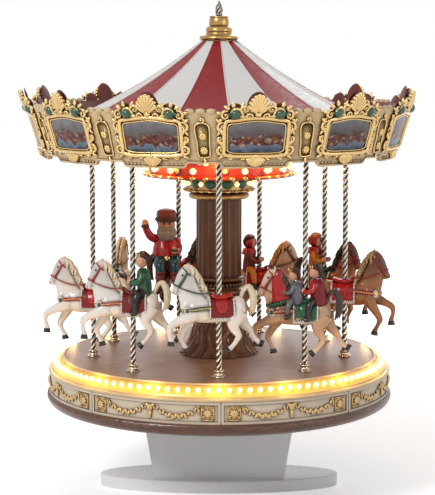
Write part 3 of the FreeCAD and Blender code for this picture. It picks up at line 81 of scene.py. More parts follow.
CAPITAL_RADIUS, CAPITAL_MIDDLE = 25.9, CEILING_BOTTOM - 26.5
POLE_COUNT = 9
POLE_RADIUS = 2.2
POLE_TO_HORSE = 58.0
BULB_RADIUS = 1.9
CROWN_LAMP_SIZE = 1.3
COLUMN_BASE_TOP = high("column_base").z
HORSE_FACING = [190.0, 174.0, -10.0, -35.0, -10.0, 20.0, 75.0, 172.0, 178.0]
SADDLE_HALF_WIDTH = 8.8
SEAT_HEIGHT = 9.0
BLANKET_DROP = math.radians(118)
CAPED_HORSE = 1
AHEAD, ACROSS, UP = Vector((1, 0, 0)), Vector((0, 1, 0)), Vector((0, 0, 1))
SIDES = (-1, 1)
SLOTS = {item["node"]: item["material_slot"] for item in frame["record"]["subparts"]}


# Shapes: a shape is a list of points and a list of faces


def joined(shapes):
    points, faces = [], []
    for shape_points, shape_faces in shapes:
        start = len(points)
        points += shape_points
        faces += [tuple(start + index for index in face) for face in shape_faces]
    return points, faces


def placed(shape, matrix):
    return [matrix @ point for point in shape[0]], shape[1]


def shifted(shape, x=0.0, y=0.0, z=0.0):
    return placed(shape, Matrix.Translation((x, y, z)))


def mirrored(shape, axis=0):
    """The shape reflected across the plane square to an axis, with its faces turned the right way out."""
    points = [
        Vector([-value if index == axis else value for index, value in enumerate(point)])
        for point in shape[0]
    ]
    return points, [tuple(reversed(face)) for face in shape[1]]


def grid(rows, closed_round=True, capped=True):
    """A skin over rows of points. Rows close on themselves, and the end rows are filled."""
    points = [point for row in rows for point in row]
    count = len(rows[0])
    faces = []
    for row in range(len(rows) - 1):
        for index in range(count if closed_round else count - 1):
            after = (index + 1) % count
            base, above = row * count, (row + 1) * count
            faces.append((base + index, base + after, above + after, above + index))
    if capped:
        faces.append(tuple(reversed(range(count))))
        faces.append(tuple(range((len(rows) - 1) * count, len(rows) * count)))
    return points, faces


def round_angles(count):
    return [2 * math.pi * index / count for index in range(count)]


def lathe(profile, steps=48):
    """A turned shape from (radius, height) points going up the outside."""
    rows = []
    for radius, height in profile:
        wide = max(radius, 1e-3)
        row = [
            Vector((wide * math.cos(turn), wide * math.sin(turn), height)) for turn in round_angles(steps)
        ]
        rows.append(row)
    return grid(rows)


def ring(profile, steps=144):
    """A turned band from a closed profile, up its outside and down its inside."""
    points, faces = lathe(profile + profile[:1], steps)
    return points, faces[:-2]


def ellipsoid(centre, radii, steps=14, rings=9):
    rows = []
    for level in range(rings + 1):
        lift = math.pi * (level / rings - 0.5)
        wide, deep = (radius * max(math.cos(lift), 1e-3) for radius in radii[:2])
        middle = Vector(centre) + UP * (radii[2] * math.sin(lift))
        row = [Vector((wide * math.cos(turn), deep * math.sin(turn), 0)) for turn in round_angles(steps)]
        rows.append([middle + offset for offset in row])
    return grid(rows)


def smooth_path(stations, steps=5):
    """Stations of any numbers, with evenly eased ones between them."""
    result = []
    last = len(stations) - 1
    for index in range(last):
        four = [stations[min(max(index + shift, 0), last)] for shift in (-1, 0, 1, 2)]
        for step in range(steps):
            t = step / steps
            weights = (
                (-t + 2 * t * t - t**3) / 2, (2 - 5 * t * t + 3 * t**3) / 2,
                (t + 4 * t * t - 3 * t**3) / 2, (-t * t + t**3) / 2,
            )
            result.append(
                tuple(sum(w * s[k] for w, s in zip(weights, four)) for k in range(len(stations[0])))
            )
    result.append(tuple(stations[-1]))
    return result


def pair(place, radii, steps=8, rings=6):
    """Two equal swells, one on each side."""
    x, y, z = place
    return joined([ellipsoid((x, y * side, z), radii, steps, rings) for side in SIDES])


def tube(stations, sides=12, side=ACROSS, steps=5, closed=False):
    """A swept shape. Each station is (x, y, z, half width along side, half depth)."""
    line = smooth_path(stations, steps) if steps > 1 else list(stations)
    centres = [Vector(item[:3]) for item in line]
    rows = []
    across = None
    for index, (item, centre) in enumerate(zip(line, centres)):
        if closed:
            ahead = centres[(index + 1) % len(centres)] - centres[index - 1]
        else:
            ahead = centres[min(index + 1, len(centres) - 1)] - centres[max(index - 1, 0)]
        ahead.normalize()
        start = Vector(side) if across is None else across
        across = start - ahead * start.dot(ahead)
        if across.length < 1e-6:
            across = ahead.orthogonal()
        across.normalize()
        other = ahead.cross(across)
        row = []
        for turn in round_angles(sides):
            row.append(centre + across * (item[3] * math.cos(turn)) + other * (item[-1] * math.sin(turn)))
        rows.append(row)
    if closed:
        rows.append(rows[0])
    return grid(rows, capped=not closed)


def around_axis(shape, angle):
    return placed(shape, Matrix.Rotation(math.radians(angle), 4, "Z"))


def spot(radius, angle, height):
    turn = math.radians(angle)
    return Vector((radius * math.sin(turn), -radius * math.cos(turn), height))


def crown_radius(height):
    return CROWN_TOP_RADIUS - (CROWN_TOP - height) * CROWN_FLARE / CROWN_HEIGHT


def on_crown(shape, angle):
    """A flat shape of (sideways, above the crown's bottom, outwards) points laid on the crown wall."""
    points = []
    for point in shape[0]:
        height = CROWN_BOTTOM + point.y
        radius = crown_radius(height)
        points.append(spot(radius + point.z, angle + math.degrees(point.x / radius), height))
    return points, shape[1]


def on_wall(shape, angle):
    """A flat shape of (sideways, above the wall's bottom, outwards) points laid on the base wall."""
    points = []
    for point in shape[0]:
        turn = angle + math.degrees(point.x / FIELD_RADIUS)
        points.append(spot(FIELD_RADIUS + point.z, turn, WALL_BOTTOM + point.y))
    return points, shape[1]


def new_object(name, data):
    result = bpy.data.objects.new(name, data)
    bpy.context.scene.collection.objects.link(result)
    return result


def add_object(name, parts, smooth=True, tone=None):
    """An object from (shape, material) pairs. tone gives each point's share of the second colour."""
    points, faces = joined([shape for shape, _ in parts])
    mesh = bpy.data.meshes.new(name)
    mesh.from_pydata([point * MM for point in points], [], faces)
    materials = list(dict.fromkeys(material for _, material in parts))
    for material in materials:
        mesh.materials.append(material)
    slots = []
    for shape, material in parts:
        slots += [materials.index(material)] * len(shape[1])
    mesh.polygons.foreach_set("material_index", slots)
    if tone:
        shares = [tone(point) for point in points]
        mesh.attributes.new("tone", "FLOAT", "POINT").data.foreach_set("value", shares)
    if smooth:
        mesh.shade_smooth()
    mesh.update()
    return new_object(name, mesh)


def piece(name, parts, body, node=None, slot=None, smooth=True, tone=None):
    """A piece of the object, riding on a body, in place of a node where one is named."""
    result = add_object(name, parts, smooth, tone)
    if node:
        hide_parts(node)
    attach(result, body)
    slot or SLOTS[node]
    return result


def fused(shapes, voxel, rounds):
    """Overlapping closed shapes melted into one smooth skin."""
    points, faces = joined(shapes)
    mesh = bpy.data.meshes.new("form")
    mesh.from_pydata(points, [], faces)
    form = new_object("form", mesh)
    remesh = form.modifiers.new("remesh", "REMESH")
    remesh.mode = "VOXEL"
    remesh.voxel_size = voxel
    soften = form.modifiers.new("soften", "SMOOTH")
    soften.factor = 0.5
    soften.iterations = rounds
    thin = form.modifiers.new("thin", "DECIMATE")
    thin.ratio = 0.5
    done = form.evaluated_get(bpy.context.evaluated_depsgraph_get()).to_mesh()
    skin_points = [vertex.co.copy() for vertex in done.vertices]
    skin_faces = [tuple(face.vertices) for face in done.polygons]
    bpy.data.objects.remove(form)
    bpy.data.meshes.remove(mesh)
    return skin_points, skin_faces


# Materials


def graph_of(name):
    material = bpy.data.materials.new(name)
    material.use_nodes = True
    tree = material.node_tree
    return material, tree.nodes, tree.links, tree.nodes["Principled BSDF"]


def noise(nodes, links, scale, detail=4.0, stretch=None):
    place = nodes.new("ShaderNodeTexCoord")
    texture = nodes.new("ShaderNodeTexNoise")
    texture.inputs["Scale"].default_value = scale
    texture.inputs["Detail"].default_value = detail
    source = place.outputs["Object"]
    if stretch:
        mapping = nodes.new("ShaderNodeMapping")
        mapping.inputs["Scale"].default_value = stretch
        links.new(source, mapping.inputs["Vector"])
        source = mapping.outputs["Vector"]
    links.new(source, texture.inputs["Vector"])
    return texture.outputs["Fac"]


def mix(nodes, links, factor, first, second):
    node = nodes.new("ShaderNodeMix")
    node.data_type = "RGBA"
    colours = [socket for socket in node.inputs if socket.type == "RGBA"]
    for value, socket in zip((first, second), colours):
        if isinstance(value, tuple):
            socket.default_value = (*value, 1.0)
        else:
            links.new(value, socket)
    links.new(factor, node.inputs[0])
    return [socket for socket in node.outputs if socket.type == "RGBA"][0]


def ramp(nodes, links, factor, stops):
    node = nodes.new("ShaderNodeValToRGB")
    while len(node.color_ramp.elements) < len(stops):
        node.color_ramp.elements.new(0.5)
    for element, (position, colour) in zip(node.color_ramp.elements, stops):
        element.position = position
        element.color = (*colour, 1.0)
    links.new(factor, node.inputs["Fac"])
    return node.outputs["Color"]


def spread(nodes, links, value, from_low, from_high, to_low=0.0, to_high=1.0):
    node = nodes.new("ShaderNodeMapRange")
    node.inputs["From Min"].default_value = from_low
    node.inputs["From Max"].default_value = from_high
    node.inputs["To Min"].default_value = to_low
    node.inputs["To Max"].default_value = to_high
    links.new(value, node.inputs["Value"])
    return node.outputs["Result"]


def shaded(colour, share):
    return tuple(min(1.0, channel * share) for channel in colour)


def relief(nodes, links, shader, height, strength, depth):
    node = nodes.new("ShaderNodeBump")
    node.inputs["Strength"].default_value = strength
    node.inputs["Distance"].default_value = depth * MM
    links.new(height, node.inputs["Height"])
    links.new(node.outputs["Normal"], shader.inputs["Normal"])


def paint(
    name, colour, rough=0.35, metallic=0.0, vary=0.14, scale=90.0, bump=0.12, hollow_shade=None, reach=1.6,
    coat=0.0, stretch=None, second=None,
):
    """A painted or metal surface with mottled colour, uneven gloss and a fine bump.

    hollow is painted shade, mixed in where ambient occlusion within reach finds a recess, and second takes
    over where the mesh's tone rises."""
    material, nodes, links, shader = graph_of(name)
    mottle = noise(nodes, links, scale, 5.0, stretch)
    skin = mix(nodes, links, mottle, shaded(colour, 1 - vary), shaded(colour, 1 + vary))
    if second:
        tone = nodes.new("ShaderNodeAttribute")
        tone.attribute_name = "tone"
        skin = mix(nodes, links, tone.outputs["Fac"], skin, second)
    # Painted shade: darker where ambient occlusion finds a recess.
    if hollow_shade:
        occlusion = nodes.new("ShaderNodeAmbientOcclusion")
        occlusion.samples = 6
        occlusion.inputs["Distance"].default_value = reach * MM
        open_share = spread(nodes, links, occlusion.outputs["AO"], 0.45, 0.95)
        skin = mix(nodes, links, open_share, hollow_shade, skin)
    links.new(skin, shader.inputs["Base Color"])
    fine = noise(nodes, links, scale * 9, 3.0, stretch)
    gloss = spread(nodes, links, fine, 0.3, 0.7, rough * 0.8, min(1.0, rough * 1.25))
    links.new(gloss, shader.inputs["Roughness"])
    shader.inputs["Metallic"].default_value = metallic
    shader.inputs["Specular IOR Level"].default_value = 0.3
    shader.inputs["Coat Weight"].default_value = coat
    relief(nodes, links, shader, fine, bump, 0.4)
    return material


def lamp(name, colour, strength):
    """A glow a little uneven: a lit lamp of frosted glass, and also the painted light on the light channel.
    """
    material, nodes, links, shader = graph_of(name)
    frost = noise(nodes, links, 260.0, 3.0)
    glow = mix(nodes, links, frost, shaded(colour, 0.82), shaded(colour, 1.18))
    links.new(glow, shader.inputs["Emission Color"])
    shader.inputs["Emission Strength"].default_value = strength
    shader.inputs["Base Color"].default_value = (*colour, 1.0)
    shader.inputs["Roughness"].default_value = 0.25
    return material


def boards(name, dark, light, rough):
    """Varnished boards with grain along X."""
    material, nodes, links, shader = graph_of(name)
    grain = noise(nodes, links, 40.0, 6.0, (1.0, 9.0, 9.0))
    links.new(ramp(nodes, links, grain, [(0.3, dark), (0.7, light)]), shader.inputs["Base Color"])
    pores = noise(nodes, links, 260.0, 4.0, (0.4, 6.0, 6.0))
    links.new(spread(nodes, links, pores, 0.3, 0.7, rough * 0.8, rough * 1.2), shader.inputs["Roughness"])
    relief(nodes, links, shader, pores, 0.15, 0.3)
    return material


def landscape(name):
    """A loose painted view: a pale sky, russet woods and a strip of water, with no figures."""
    view_stops = [
        (0.0, (0.03, 0.035, 0.045)), (0.12, (0.08, 0.11, 0.16)), (0.24, (0.15, 0.19, 0.24)),
        (0.30, (0.035, 0.015, 0.012)), (0.50, (0.09, 0.022, 0.018)), (0.62, (0.11, 0.09, 0.09)),
        (1.0, (0.19, 0.19, 0.20)),
    ]
    dab_stops = [
        (0.0, (0.04, 0.02, 0.015)), (0.4, (0.11, 0.018, 0.014)), (0.75, (0.19, 0.07, 0.03)),
        (1.0, (0.40, 0.33, 0.27)),
    ]
    wood_stops = [(0.22, (0, 0, 0)), (0.32, (1, 1, 1)), (0.50, (1, 1, 1)), (0.60, (0, 0, 0))]
    material, nodes, links, shader = graph_of(name)
    place = nodes.new("ShaderNodeTexCoord")
    split = nodes.new("ShaderNodeSeparateXYZ")
    links.new(place.outputs["Object"], split.inputs["Vector"])
    bottom = (CROWN_BOTTOM + PICTURE_RISE) * MM
    height = spread(nodes, links, split.outputs["Z"], bottom, bottom + PICTURE_HEIGHT * MM)
    wobble = nodes.new("ShaderNodeMath")
    wobble.operation = "MULTIPLY_ADD"
    wobble.inputs[1].default_value = 0.75
    links.new(noise(nodes, links, 150.0, 6.0), wobble.inputs[0])
    links.new(height, wobble.inputs[2])
    level = spread(nodes, links, wobble.outputs["Value"], 0.28, 1.4)
    view = ramp(nodes, links, level, view_stops)
    cells = nodes.new("ShaderNodeTexVoronoi")
    cells.inputs["Scale"].default_value = 420.0
    links.new(place.outputs["Object"], cells.inputs["Vector"])
    shade = nodes.new("ShaderNodeSeparateColor")
    links.new(cells.outputs["Color"], shade.inputs["Color"])
    dabs = ramp(nodes, links, shade.outputs["Red"], dab_stops)
    woods = ramp(nodes, links, level, wood_stops)
    links.new(mix(nodes, links, woods, view, dabs), shader.inputs["Base Color"])
    shader.inputs["Roughness"].default_value = 0.32
    shader.inputs["Specular IOR Level"].default_value = 0.25
    return material


# Each hollow colour below is painted shade in the surface's recesses; this dark brown is the painted shade
# in the recesses of the gilt.
GILT_RECESS_SHADE = (0.055, 0.026, 0.010)
CREAM = paint(
    "cream", (0.62, 0.46, 0.25), 0.36, vary=0.16, hollow_shade=(0.15, 0.07, 0.025), reach=4.0, coat=0.15,
)
PALE = paint("pale_cream", (0.62, 0.52, 0.40), 0.40, vary=0.12, hollow_shade=(0.15, 0.09, 0.045), reach=3.0)
GARLAND = paint("garland", (0.66, 0.45, 0.20), 0.30, 0.4, vary=0.2, hollow_shade=(0.15, 0.075, 0.028), reach=1.2)
GOLD = paint("old_gold", (0.74, 0.51, 0.22), 0.22, 0.75, vary=0.2, hollow_shade=GILT_RECESS_SHADE, reach=2.0)
TAN_GOLD = paint("tan_gold", (0.36, 0.25, 0.10), 0.34, 0.3, vary=0.2, hollow_shade=GILT_RECESS_SHADE, reach=3.0)
BRONZE = paint(
    "bronze_gold", (0.44, 0.27, 0.10), 0.28, 0.7, vary=0.25, hollow_shade=(0.03, 0.012, 0.005), reach=1.8,
)
CAP_GOLD = paint("cap_gold", (0.45, 0.27, 0.10), 0.25, 0.9, vary=0.3, hollow_shade=(0.02, 0.01, 0.004), reach=3.0)
BRASS = paint(
    "twisted_brass", (0.50, 0.42, 0.31), 0.2, 1.0, vary=0.2, hollow_shade=(0.010, 0.007, 0.005), reach=1.5,
    bump=0.05,
)
# The second colour is painted shade: it turns the pole near black deep in its grooves.
POLE = paint(
    "twisted_pole", (0.52, 0.48, 0.41), 0.18, 1.0, vary=0.2, bump=0.05, second=(0.006, 0.004, 0.003),
)
SILVER = paint("dark_silver", (0.30, 0.28, 0.25), 0.28, 1.0, vary=0.3, hollow_shade=(0.02, 0.02, 0.02))
STEEL = paint("steel", (0.55, 0.55, 0.55), 0.3, 1.0, bump=0.05)
RED = paint("red_gloss", (0.36, 0.008, 0.010), 0.25, vary=0.2, hollow_shade=(0.06, 0.0, 0.0), coat=0.3)
INNER_RED = paint("inner_red", (0.50, 0.035, 0.012), 0.3, vary=0.2, hollow_shade=(0.16, 0.01, 0.0), coat=0.2)
WINE = paint("wine_cloth", (0.17, 0.010, 0.012), 0.4, vary=0.3, hollow_shade=(0.03, 0.0, 0.0), reach=1.2)
BROWN_RED = paint("red_brown", (0.16, 0.030, 0.020), 0.4, vary=0.3, hollow_shade=(0.03, 0.008, 0.004), reach=3.0)
ROOF_RED = paint("roof_red", (0.27, 0.004, 0.005), 0.42, vary=0.14, scale=30.0, bump=0.06)
ROOF_WHITE = paint("roof_white", (0.76, 0.74, 0.72), 0.42, vary=0.05, scale=30.0, bump=0.06)
BARK = paint(
    "carved_bronze", (0.12, 0.048, 0.020), 0.20, 0.4, 0.5, hollow_shade=(0.008, 0.004, 0.002), reach=3.5,
    stretch=(1, 1, 0.3),
)
MOULDING = boards("moulding_wood", (0.055, 0.020, 0.010), (0.15, 0.058, 0.026), 0.26)
DECK = boards("deck_boards", (0.17, 0.095, 0.058), (0.28, 0.168, 0.112), 0.40)
STAND = paint("stand", (0.84, 0.84, 0.85), 0.32, vary=0.02, bump=0.03)
FOOT = paint("stand_foot", (0.86, 0.86, 0.87), 0.30, vary=0.02, bump=0.03)
JEWEL = paint("green_jewel", (0.004, 0.075, 0.028), 0.08, vary=0.7, scale=500.0, bump=0.7, coat=0.8)
GREEN = paint("green_gloss", (0.008, 0.085, 0.032), 0.25, vary=0.35, hollow_shade=(0.0, 0.012, 0.006), coat=0.3)
LAMP = lamp("warm_lamp", (1.0, 0.74, 0.34), 1.7)
# Painted light: the bulbs' glow on the light channel, made as a glowing surface.
CHANNEL_GLOW = lamp("painted_channel_glow", (0.95, 0.46, 0.08), 0.55)
PICTURE = landscape("picture")
BLACK = paint("black_gloss", (0.012, 0.010, 0.010), 0.2, vary=0.3, coat=0.3)
WHITE_LACE = paint("white_lace", (0.74, 0.70, 0.64), 0.45, vary=0.08, hollow_shade=(0.16, 0.12, 0.10), reach=1.0)
GREY_HAIR = paint(
    "grey_hair", (0.30, 0.25, 0.20), 0.5, vary=0.2, scale=400.0, bump=0.4, hollow_shade=(0.07, 0.05, 0.04),
)
FUR = paint(
    "brown_fur", (0.075, 0.034, 0.017), 0.6, vary=0.4, scale=400.0, bump=0.5, hollow_shade=(0.014, 0.006, 0.003),
)
PLASTIC = paint("moulded_plastic", (0.70, 0.70, 0.66), 0.5)
DARK_PLASTIC = paint("dark_plastic", (0.03, 0.03, 0.03), 0.5)
SKIN = paint("doll_skin", (0.62, 0.33, 0.21), 0.4, vary=0.08, hollow_shade=(0.26, 0.08, 0.05), reach=0.8)
BLUE_GREY = paint("grey_cloak", (0.10, 0.10, 0.11), 0.3, vary=0.3, coat=0.3)
TEAL = paint("teal", (0.006, 0.055, 0.065), 0.28, vary=0.25, coat=0.3)
TAN = paint("tan_coat", (0.60, 0.21, 0.035), 0.4, vary=0.25, hollow_shade=(0.10, 0.02, 0.0))
DARK_HAIR = paint(
    "dark_hair", (0.035, 0.012, 0.008), 0.35, vary=0.4, scale=300.0, hollow_shade=(0.004, 0.002, 0.001),
)


# A coat's hollow colour is painted shade in the creases of the horse.
def coat_paint(name, colour, hollow_shade, second, vary=0.22):
    return paint(name, colour, 0.28, vary=vary, hollow_shade=hollow_shade, reach=3.5, coat=0.3, second=second)


COATS = {
    "white": coat_paint("white_coat", (0.74, 0.70, 0.64), (0.22, 0.17, 0.14), (0.52, 0.48, 0.45), 0.06),
    "tan": coat_paint("pale_tan_coat", (0.46, 0.28, 0.16), (0.09, 0.04, 0.02), (0.62, 0.52, 0.42)),
    "brown": coat_paint("brown_coat", (0.30, 0.12, 0.035), (0.04, 0.012, 0.005), (0.07, 0.022, 0.012)),
    "dark": coat_paint("dark_coat", (0.085, 0.024, 0.014), (0.01, 0.003, 0.002), (0.02, 0.01, 0.008)),
}
MANES = {
    "cream": paint("cream_mane", (0.70, 0.60, 0.44), 0.4, vary=0.15, hollow_shade=(0.22, 0.13, 0.06), reach=1.0),
    "gold": paint("gold_mane", (0.60, 0.36, 0.12), 0.4, vary=0.25, hollow_shade=(0.14, 0.06, 0.015), reach=1.0),
    "striped": paint(
        "striped_mane", (0.50, 0.32, 0.16), 0.4, vary=0.35, hollow_shade=(0.035, 0.015, 0.008), reach=1.2,
    ),
    "dark": paint(
        "dark_mane", (0.05, 0.035, 0.025), 0.35, vary=0.4, hollow_shade=(0.008, 0.005, 0.003), reach=1.0,
    ),
}
PLAIN_FINISH = {
    "stand_foot": FOOT, "stand_block": STAND, "base_plate": MOULDING, "base_screws": STEEL,
    "base_moulding": MOULDING, "base_panels": PALE, "light_channel": CREAM, "lift_cam": PLASTIC,
    "shaft_bush": BRASS, "movement_frame": BRASS, "tuning_comb": STEEL, "battery_box": DARK_PLASTIC,
    "battery_cover": DARK_PLASTIC, "brush_contacts": BRASS, "spring_barrel": BRASS, "pin_cylinder": BRASS,
    "governor_fan": STEEL, "winding_key": BRASS, "light_switch": DARK_PLASTIC, "drive_shaft": STEEL,
    "drive_gear": PLASTIC, "slip_ring": BRASS, "deck": DECK, "column_shaft": BARK,
    "column_capital": BRONZE, "inner_crown": INNER_RED, "ceiling": BROWN_RED, "crown_ring": CREAM,
    "crown_pictures": PICTURE, "crown_jewels": JEWEL, "white_gores": ROOF_WHITE, "red_gores": ROOF_RED,
    "roof_ribs": ROOF_WHITE, "finial_cap": CAP_GOLD, "pole_ferrules": BRASS,
}


def finish_cad_nodes():
    for node, material in PLAIN_FINISH.items():
        mesh = frame["nodes"][node].data
        mesh.materials.clear()
        mesh.materials.append(material)


# Lamps


def bulb():
    """A small round lamp standing on z = 0."""
    turns = [math.pi * index / 8 for index in range(1, 8)]
    ball = [(BULB_RADIUS * math.sin(t), BULB_RADIUS * (1.1 - math.cos(t))) for t in turns]
    return lathe([(0.0, 0.0), (0.6 * BULB_RADIUS, 0.0)] + ball + [(0.02, 2.1 * BULB_RADIUS)], 12)


def seated_bulb(radius, height, tilt, angle, size=1.0):
    lean = Matrix.Rotation(math.radians(tilt), 4, "X") @ Matrix.Scale(size, 4)
    return around_axis(placed(bulb(), Matrix.Translation((0, -radius, height)) @ lean), angle)


def make_rim_lights():
    count = 108
    radius, height = (DECK_RADIUS + 2.4 + WALL_RADIUS - 2.2) / 2, (DECK_TOP - 1.6 + WALL_TOP + 2.2) / 2
    lamps = [seated_bulb(radius, height + 0.1, 37.0, 360.0 / count * index) for index in range(count)]
    piece("rim_lamps", [(shape, LAMP) for shape in lamps], "base", "rim_bulbs")
    inner = (DECK_RADIUS + 2.9, DECK_TOP - 1.7)
    outer = (WALL_RADIUS - 2.9, WALL_TOP + 2.9)
    # A thin band over the light channel that glows orange: painted light from the bulbs, not a lamp.
    strip = ring([outer, (outer[0], outer[1] + 0.25), (inner[0], inner[1] + 0.25), inner])
    piece("rim_painted_channel_glow", [(strip, CHANNEL_GLOW)], "base", slot="lamp")


def make_crown_lights():
    lamps = []
    for index in range(36):
        height = INNER_CROWN_MIDDLE + (LAMP_ROW_SHIFT if index % 2 else -LAMP_ROW_SHIFT)
        lamps.append(seated_bulb(INNER_CROWN_RADIUS + 0.1, height, 90.0, 10.0 * index, CROWN_LAMP_SIZE))
    for index in range(12):
        lamps.append(seated_bulb(CAPITAL_RADIUS, CAPITAL_MIDDLE, 90.0, 30.0 * index))
    piece("crown_lamps", [(shape, LAMP) for shape in lamps], "carousel", "crown_bulbs")


# Ornament, drawn flat as (sideways, up, out)


def both_sides(shapes):
    return shapes + [mirrored(shape) for shape in shapes]


def shell(width, height, lift, ribs=9, thick=1.1):
    """A fan of rounded ribs over a small boss."""
    shapes = []
    fan = math.radians(72)
    for index in range(ribs):
        share = index / (ribs - 1) * 2 - 1
        turn = share * fan
        reach = height * (1.0 - 0.22 * abs(share) ** 1.6)
        tip_x, tip_y = width * 0.5 * math.sin(turn) / math.sin(fan), reach * math.cos(turn * 0.75)
        line = []
        for step in (0.0, 0.35, 0.75, 0.94, 1.0):
            swell = thick * (0.35 + 1.1 * step) if step < 0.95 else thick * 0.55
            rise = lift + thick * 1.3 * math.sin(math.pi * min(step, 0.9))
            line.append((tip_x * step, tip_y * step, rise, swell))
        shapes.append(tube(line, 8, AHEAD, 3))
    shapes.append(ellipsoid((0, 0.4, lift + 0.6), (thick * 1.9, thick * 1.4, thick * 1.4)))
    return joined(shapes)


def scroll(x, y, size, turns, start, lift, thick, hand=1):
    """A curl that winds in to a bead."""
    line = []
    for step in range(22):
        share = step / 21
        radius = size * (1 - 0.82 * share)
        turn = math.radians(start) + hand * share * turns * 2 * math.pi
        bulge = thick * (0.45 + 0.55 * math.sin(math.pi * min(1.0, share * 1.4 + 0.1)))
        line.append((x + radius * math.cos(turn), y + radius * math.sin(turn), lift + 0.5 * thick, bulge))
    bead = ellipsoid((x, y, lift + 0.5), (thick * 0.9, thick * 0.9, thick))
    return joined([tube(line, 8, UP, 1), bead])


def leaf(x, y, length, width, turn, lift, thick=0.8):
    stem, belly = (0, 0, 0, 0.2 * width, 0.4 * thick), (0.35 * length, 0, 0.4 * thick, width, thick)
    shoulder = (0.75 * length, 0, 0.3 * thick, 0.7 * width, 0.8 * thick)
    tip = (length, 0, 0, 0.08 * width, 0.2 * thick)
    shape = tube([stem, belly, shoulder, tip], 8, ACROSS, 3)
    return placed(shape, Matrix.Translation((x, y, lift)) @ Matrix.Rotation(math.radians(turn), 4, "Z"))


def rosette(x, y, size, lift):
    petals = [leaf(x, y, size, size * 0.34, 45.0 * index, lift + 0.4, size * 0.3) for index in range(8)]
    return joined(petals + [ellipsoid((x, y, lift + size * 0.3), (size * 0.32, size * 0.32, size * 0.3))])


def picture_edge(grow):
    """Points round a picture's lobed outline, larger all round by grow."""
    half, base, top = PICTURE_WIDTH / 2 + grow, PICTURE_RISE - grow, PICTURE_TOP + grow
    right = [
        (half - 2.5, base), (half - 0.4, base + 6.0), (half, top - 4.0), (half - 2.0, top - 1.4),
        (half - 5.0, top - 1.0),
    ]
    left = [(-x, y) for x, y in reversed(right)]
    corners = left[-1:] + [(0, base - 0.8)] + right + [(0, top + 0.8)] + left[:-1]
    steps = 5
    line = smooth_path(corners + corners[:3], steps)
    return line[steps : steps * (len(corners) + 1)]


def moulding(grow, lift, half_width, half_height):
    stations = [(x, y, lift, half_height, half_width) for x, y in picture_edge(grow)]
    return tube(stations, 10, UP, 1, closed=True)


def bead_row(grow, lift, size, every=2):
    places = picture_edge(grow)[::every]
    return joined([ellipsoid((x, y, lift), (size, size, size), 8, 5) for x, y in places])


def crown_frame():
    """One picture's gilt frame with a row of beads, and curls and leaves down its sides and foot."""
    shapes = [moulding(2.8, 1.2, 1.5, 1.6), moulding(0.7, 0.9, 0.6, 0.7), bead_row(4.6, 0.7, 0.85)]
    half, base, top = PICTURE_WIDTH / 2 + 4.6, PICTURE_RISE - 3.0, PICTURE_TOP + 2.0
    side = [
        scroll(half, top - 5.0, 3.6, 1.4, 110, 0.8, 1.2, -1),
        scroll(half + 0.6, base + 11.6, 2.8, 1.3, 170, 0.8, 1.1, 1),
        scroll(half - 0.4, base + 4.0, 3.4, 1.4, 230, 0.8, 1.2, 1),
        scroll(half - 6.5, base - 1.2, 2.4, 1.3, 20, 0.8, 1.0, 1),
        leaf(half - 1.4, base + 6.2, 6.0, 1.3, 62, 1.2, 1.1),
        leaf(half - 1.0, base + 14.2, 6.4, 1.3, 70, 1.2, 1.1),
        leaf(half + 0.4, top - 2.4, 5.4, 1.3, 40, 1.0, 1.0),
        leaf(half + 0.8, top - 7.0, 5.0, 1.1, -60, 0.9, 0.9),
        leaf(half - 2.6, base + 0.6, 5.6, 1.2, -35, 1.0, 1.0),
        leaf(5.5, base - 0.6, 7.6, 1.2, 3, 1.1, 1.0), leaf(6.0, base - 1.8, 5.6, 1.0, -14, 0.9, 0.9),
    ]
    return joined(shapes + both_sides(side))


def crown_crest():
    """Curls over the picture that hold the jewels, rising to the shell in the middle."""
    top = PICTURE_TOP + 5.0
    side = [
        scroll(16.0, top + 1.0, 5.4, 0.95, 210, 1.0, 1.3, -1),
        scroll(22.6, top + 0.4, 3.4, 1.3, 120, 0.9, 1.1, -1),
        scroll(9.4, top + 4.4, 3.4, 1.4, 290, 1.4, 1.2, 1),
        scroll(6.2, top - 0.6, 2.6, 1.3, 200, 1.4, 1.0, -1), leaf(19.5, top + 4.4, 5.6, 1.5, 30, 1.1, 1.1),
        leaf(17.0, top + 5.2, 5.2, 1.5, 75, 1.1, 1.1), leaf(7.0, top - 0.8, 8.6, 1.3, 6, 1.2, 1.0),
        leaf(12.6, top + 5.6, 5.6, 1.4, 125, 1.2, 1.1), leaf(24.6, top - 1.6, 5.0, 1.2, -48, 0.9, 0.9),
        leaf(25.0, top + 1.2, 4.6, 1.2, 20, 0.9, 0.9),
    ]
    spine = [
        (-21, top - 0.6, -0.4, 2.6, 1.2), (0, top + 2.6, -0.4, 3.4, 1.2), (21, top - 0.6, -0.4, 2.6, 1.2),
    ]
    return joined(both_sides(side) + [tube(spine, 8, ACROSS)])


def crown_gems():
    """Small stones set round each jewel."""
    gems = []
    for side in (-16.0, 16.0):
        for turn in round_angles(6):
            place = (side + 3.9 * math.cos(turn), PICTURE_TOP + 6.2 + 3.9 * math.sin(turn), 1.4)
            gems.append(ellipsoid(place, (1.4, 1.4, 1.3), 8, 6))
    return joined(gems)


def crown_trim():
    """A rolled edge along the swags of the crown's foot, and a row of beads."""
    end = math.pi * (CROWN_TOP_RADIUS - CROWN_FLARE) / CROWN_PANELS
    drop = CROWN_BOTTOM - low("crown_ring").z
    half_edge = [
        (0.0, -drop), (12.0, -drop), (21.6, -drop), (23.4, -drop / 2), (25.2, 0.0), (30.0, 0.0),
        (end, 0.0),
    ]
    line = [(-x, y) for x, y in reversed(half_edge)] + half_edge[1:]
    edge = tube([(x, y + 0.5, 0.2, 0.9, 0.9) for x, y in line], 8, UP, 3)
    places = (-20, -17, -14, -11, 11, 14, 17, 20)
    return joined([edge] + [ellipsoid((x, -drop + 2.6, 0.3), (0.9, 0.9, 0.7), 8, 5) for x in places])


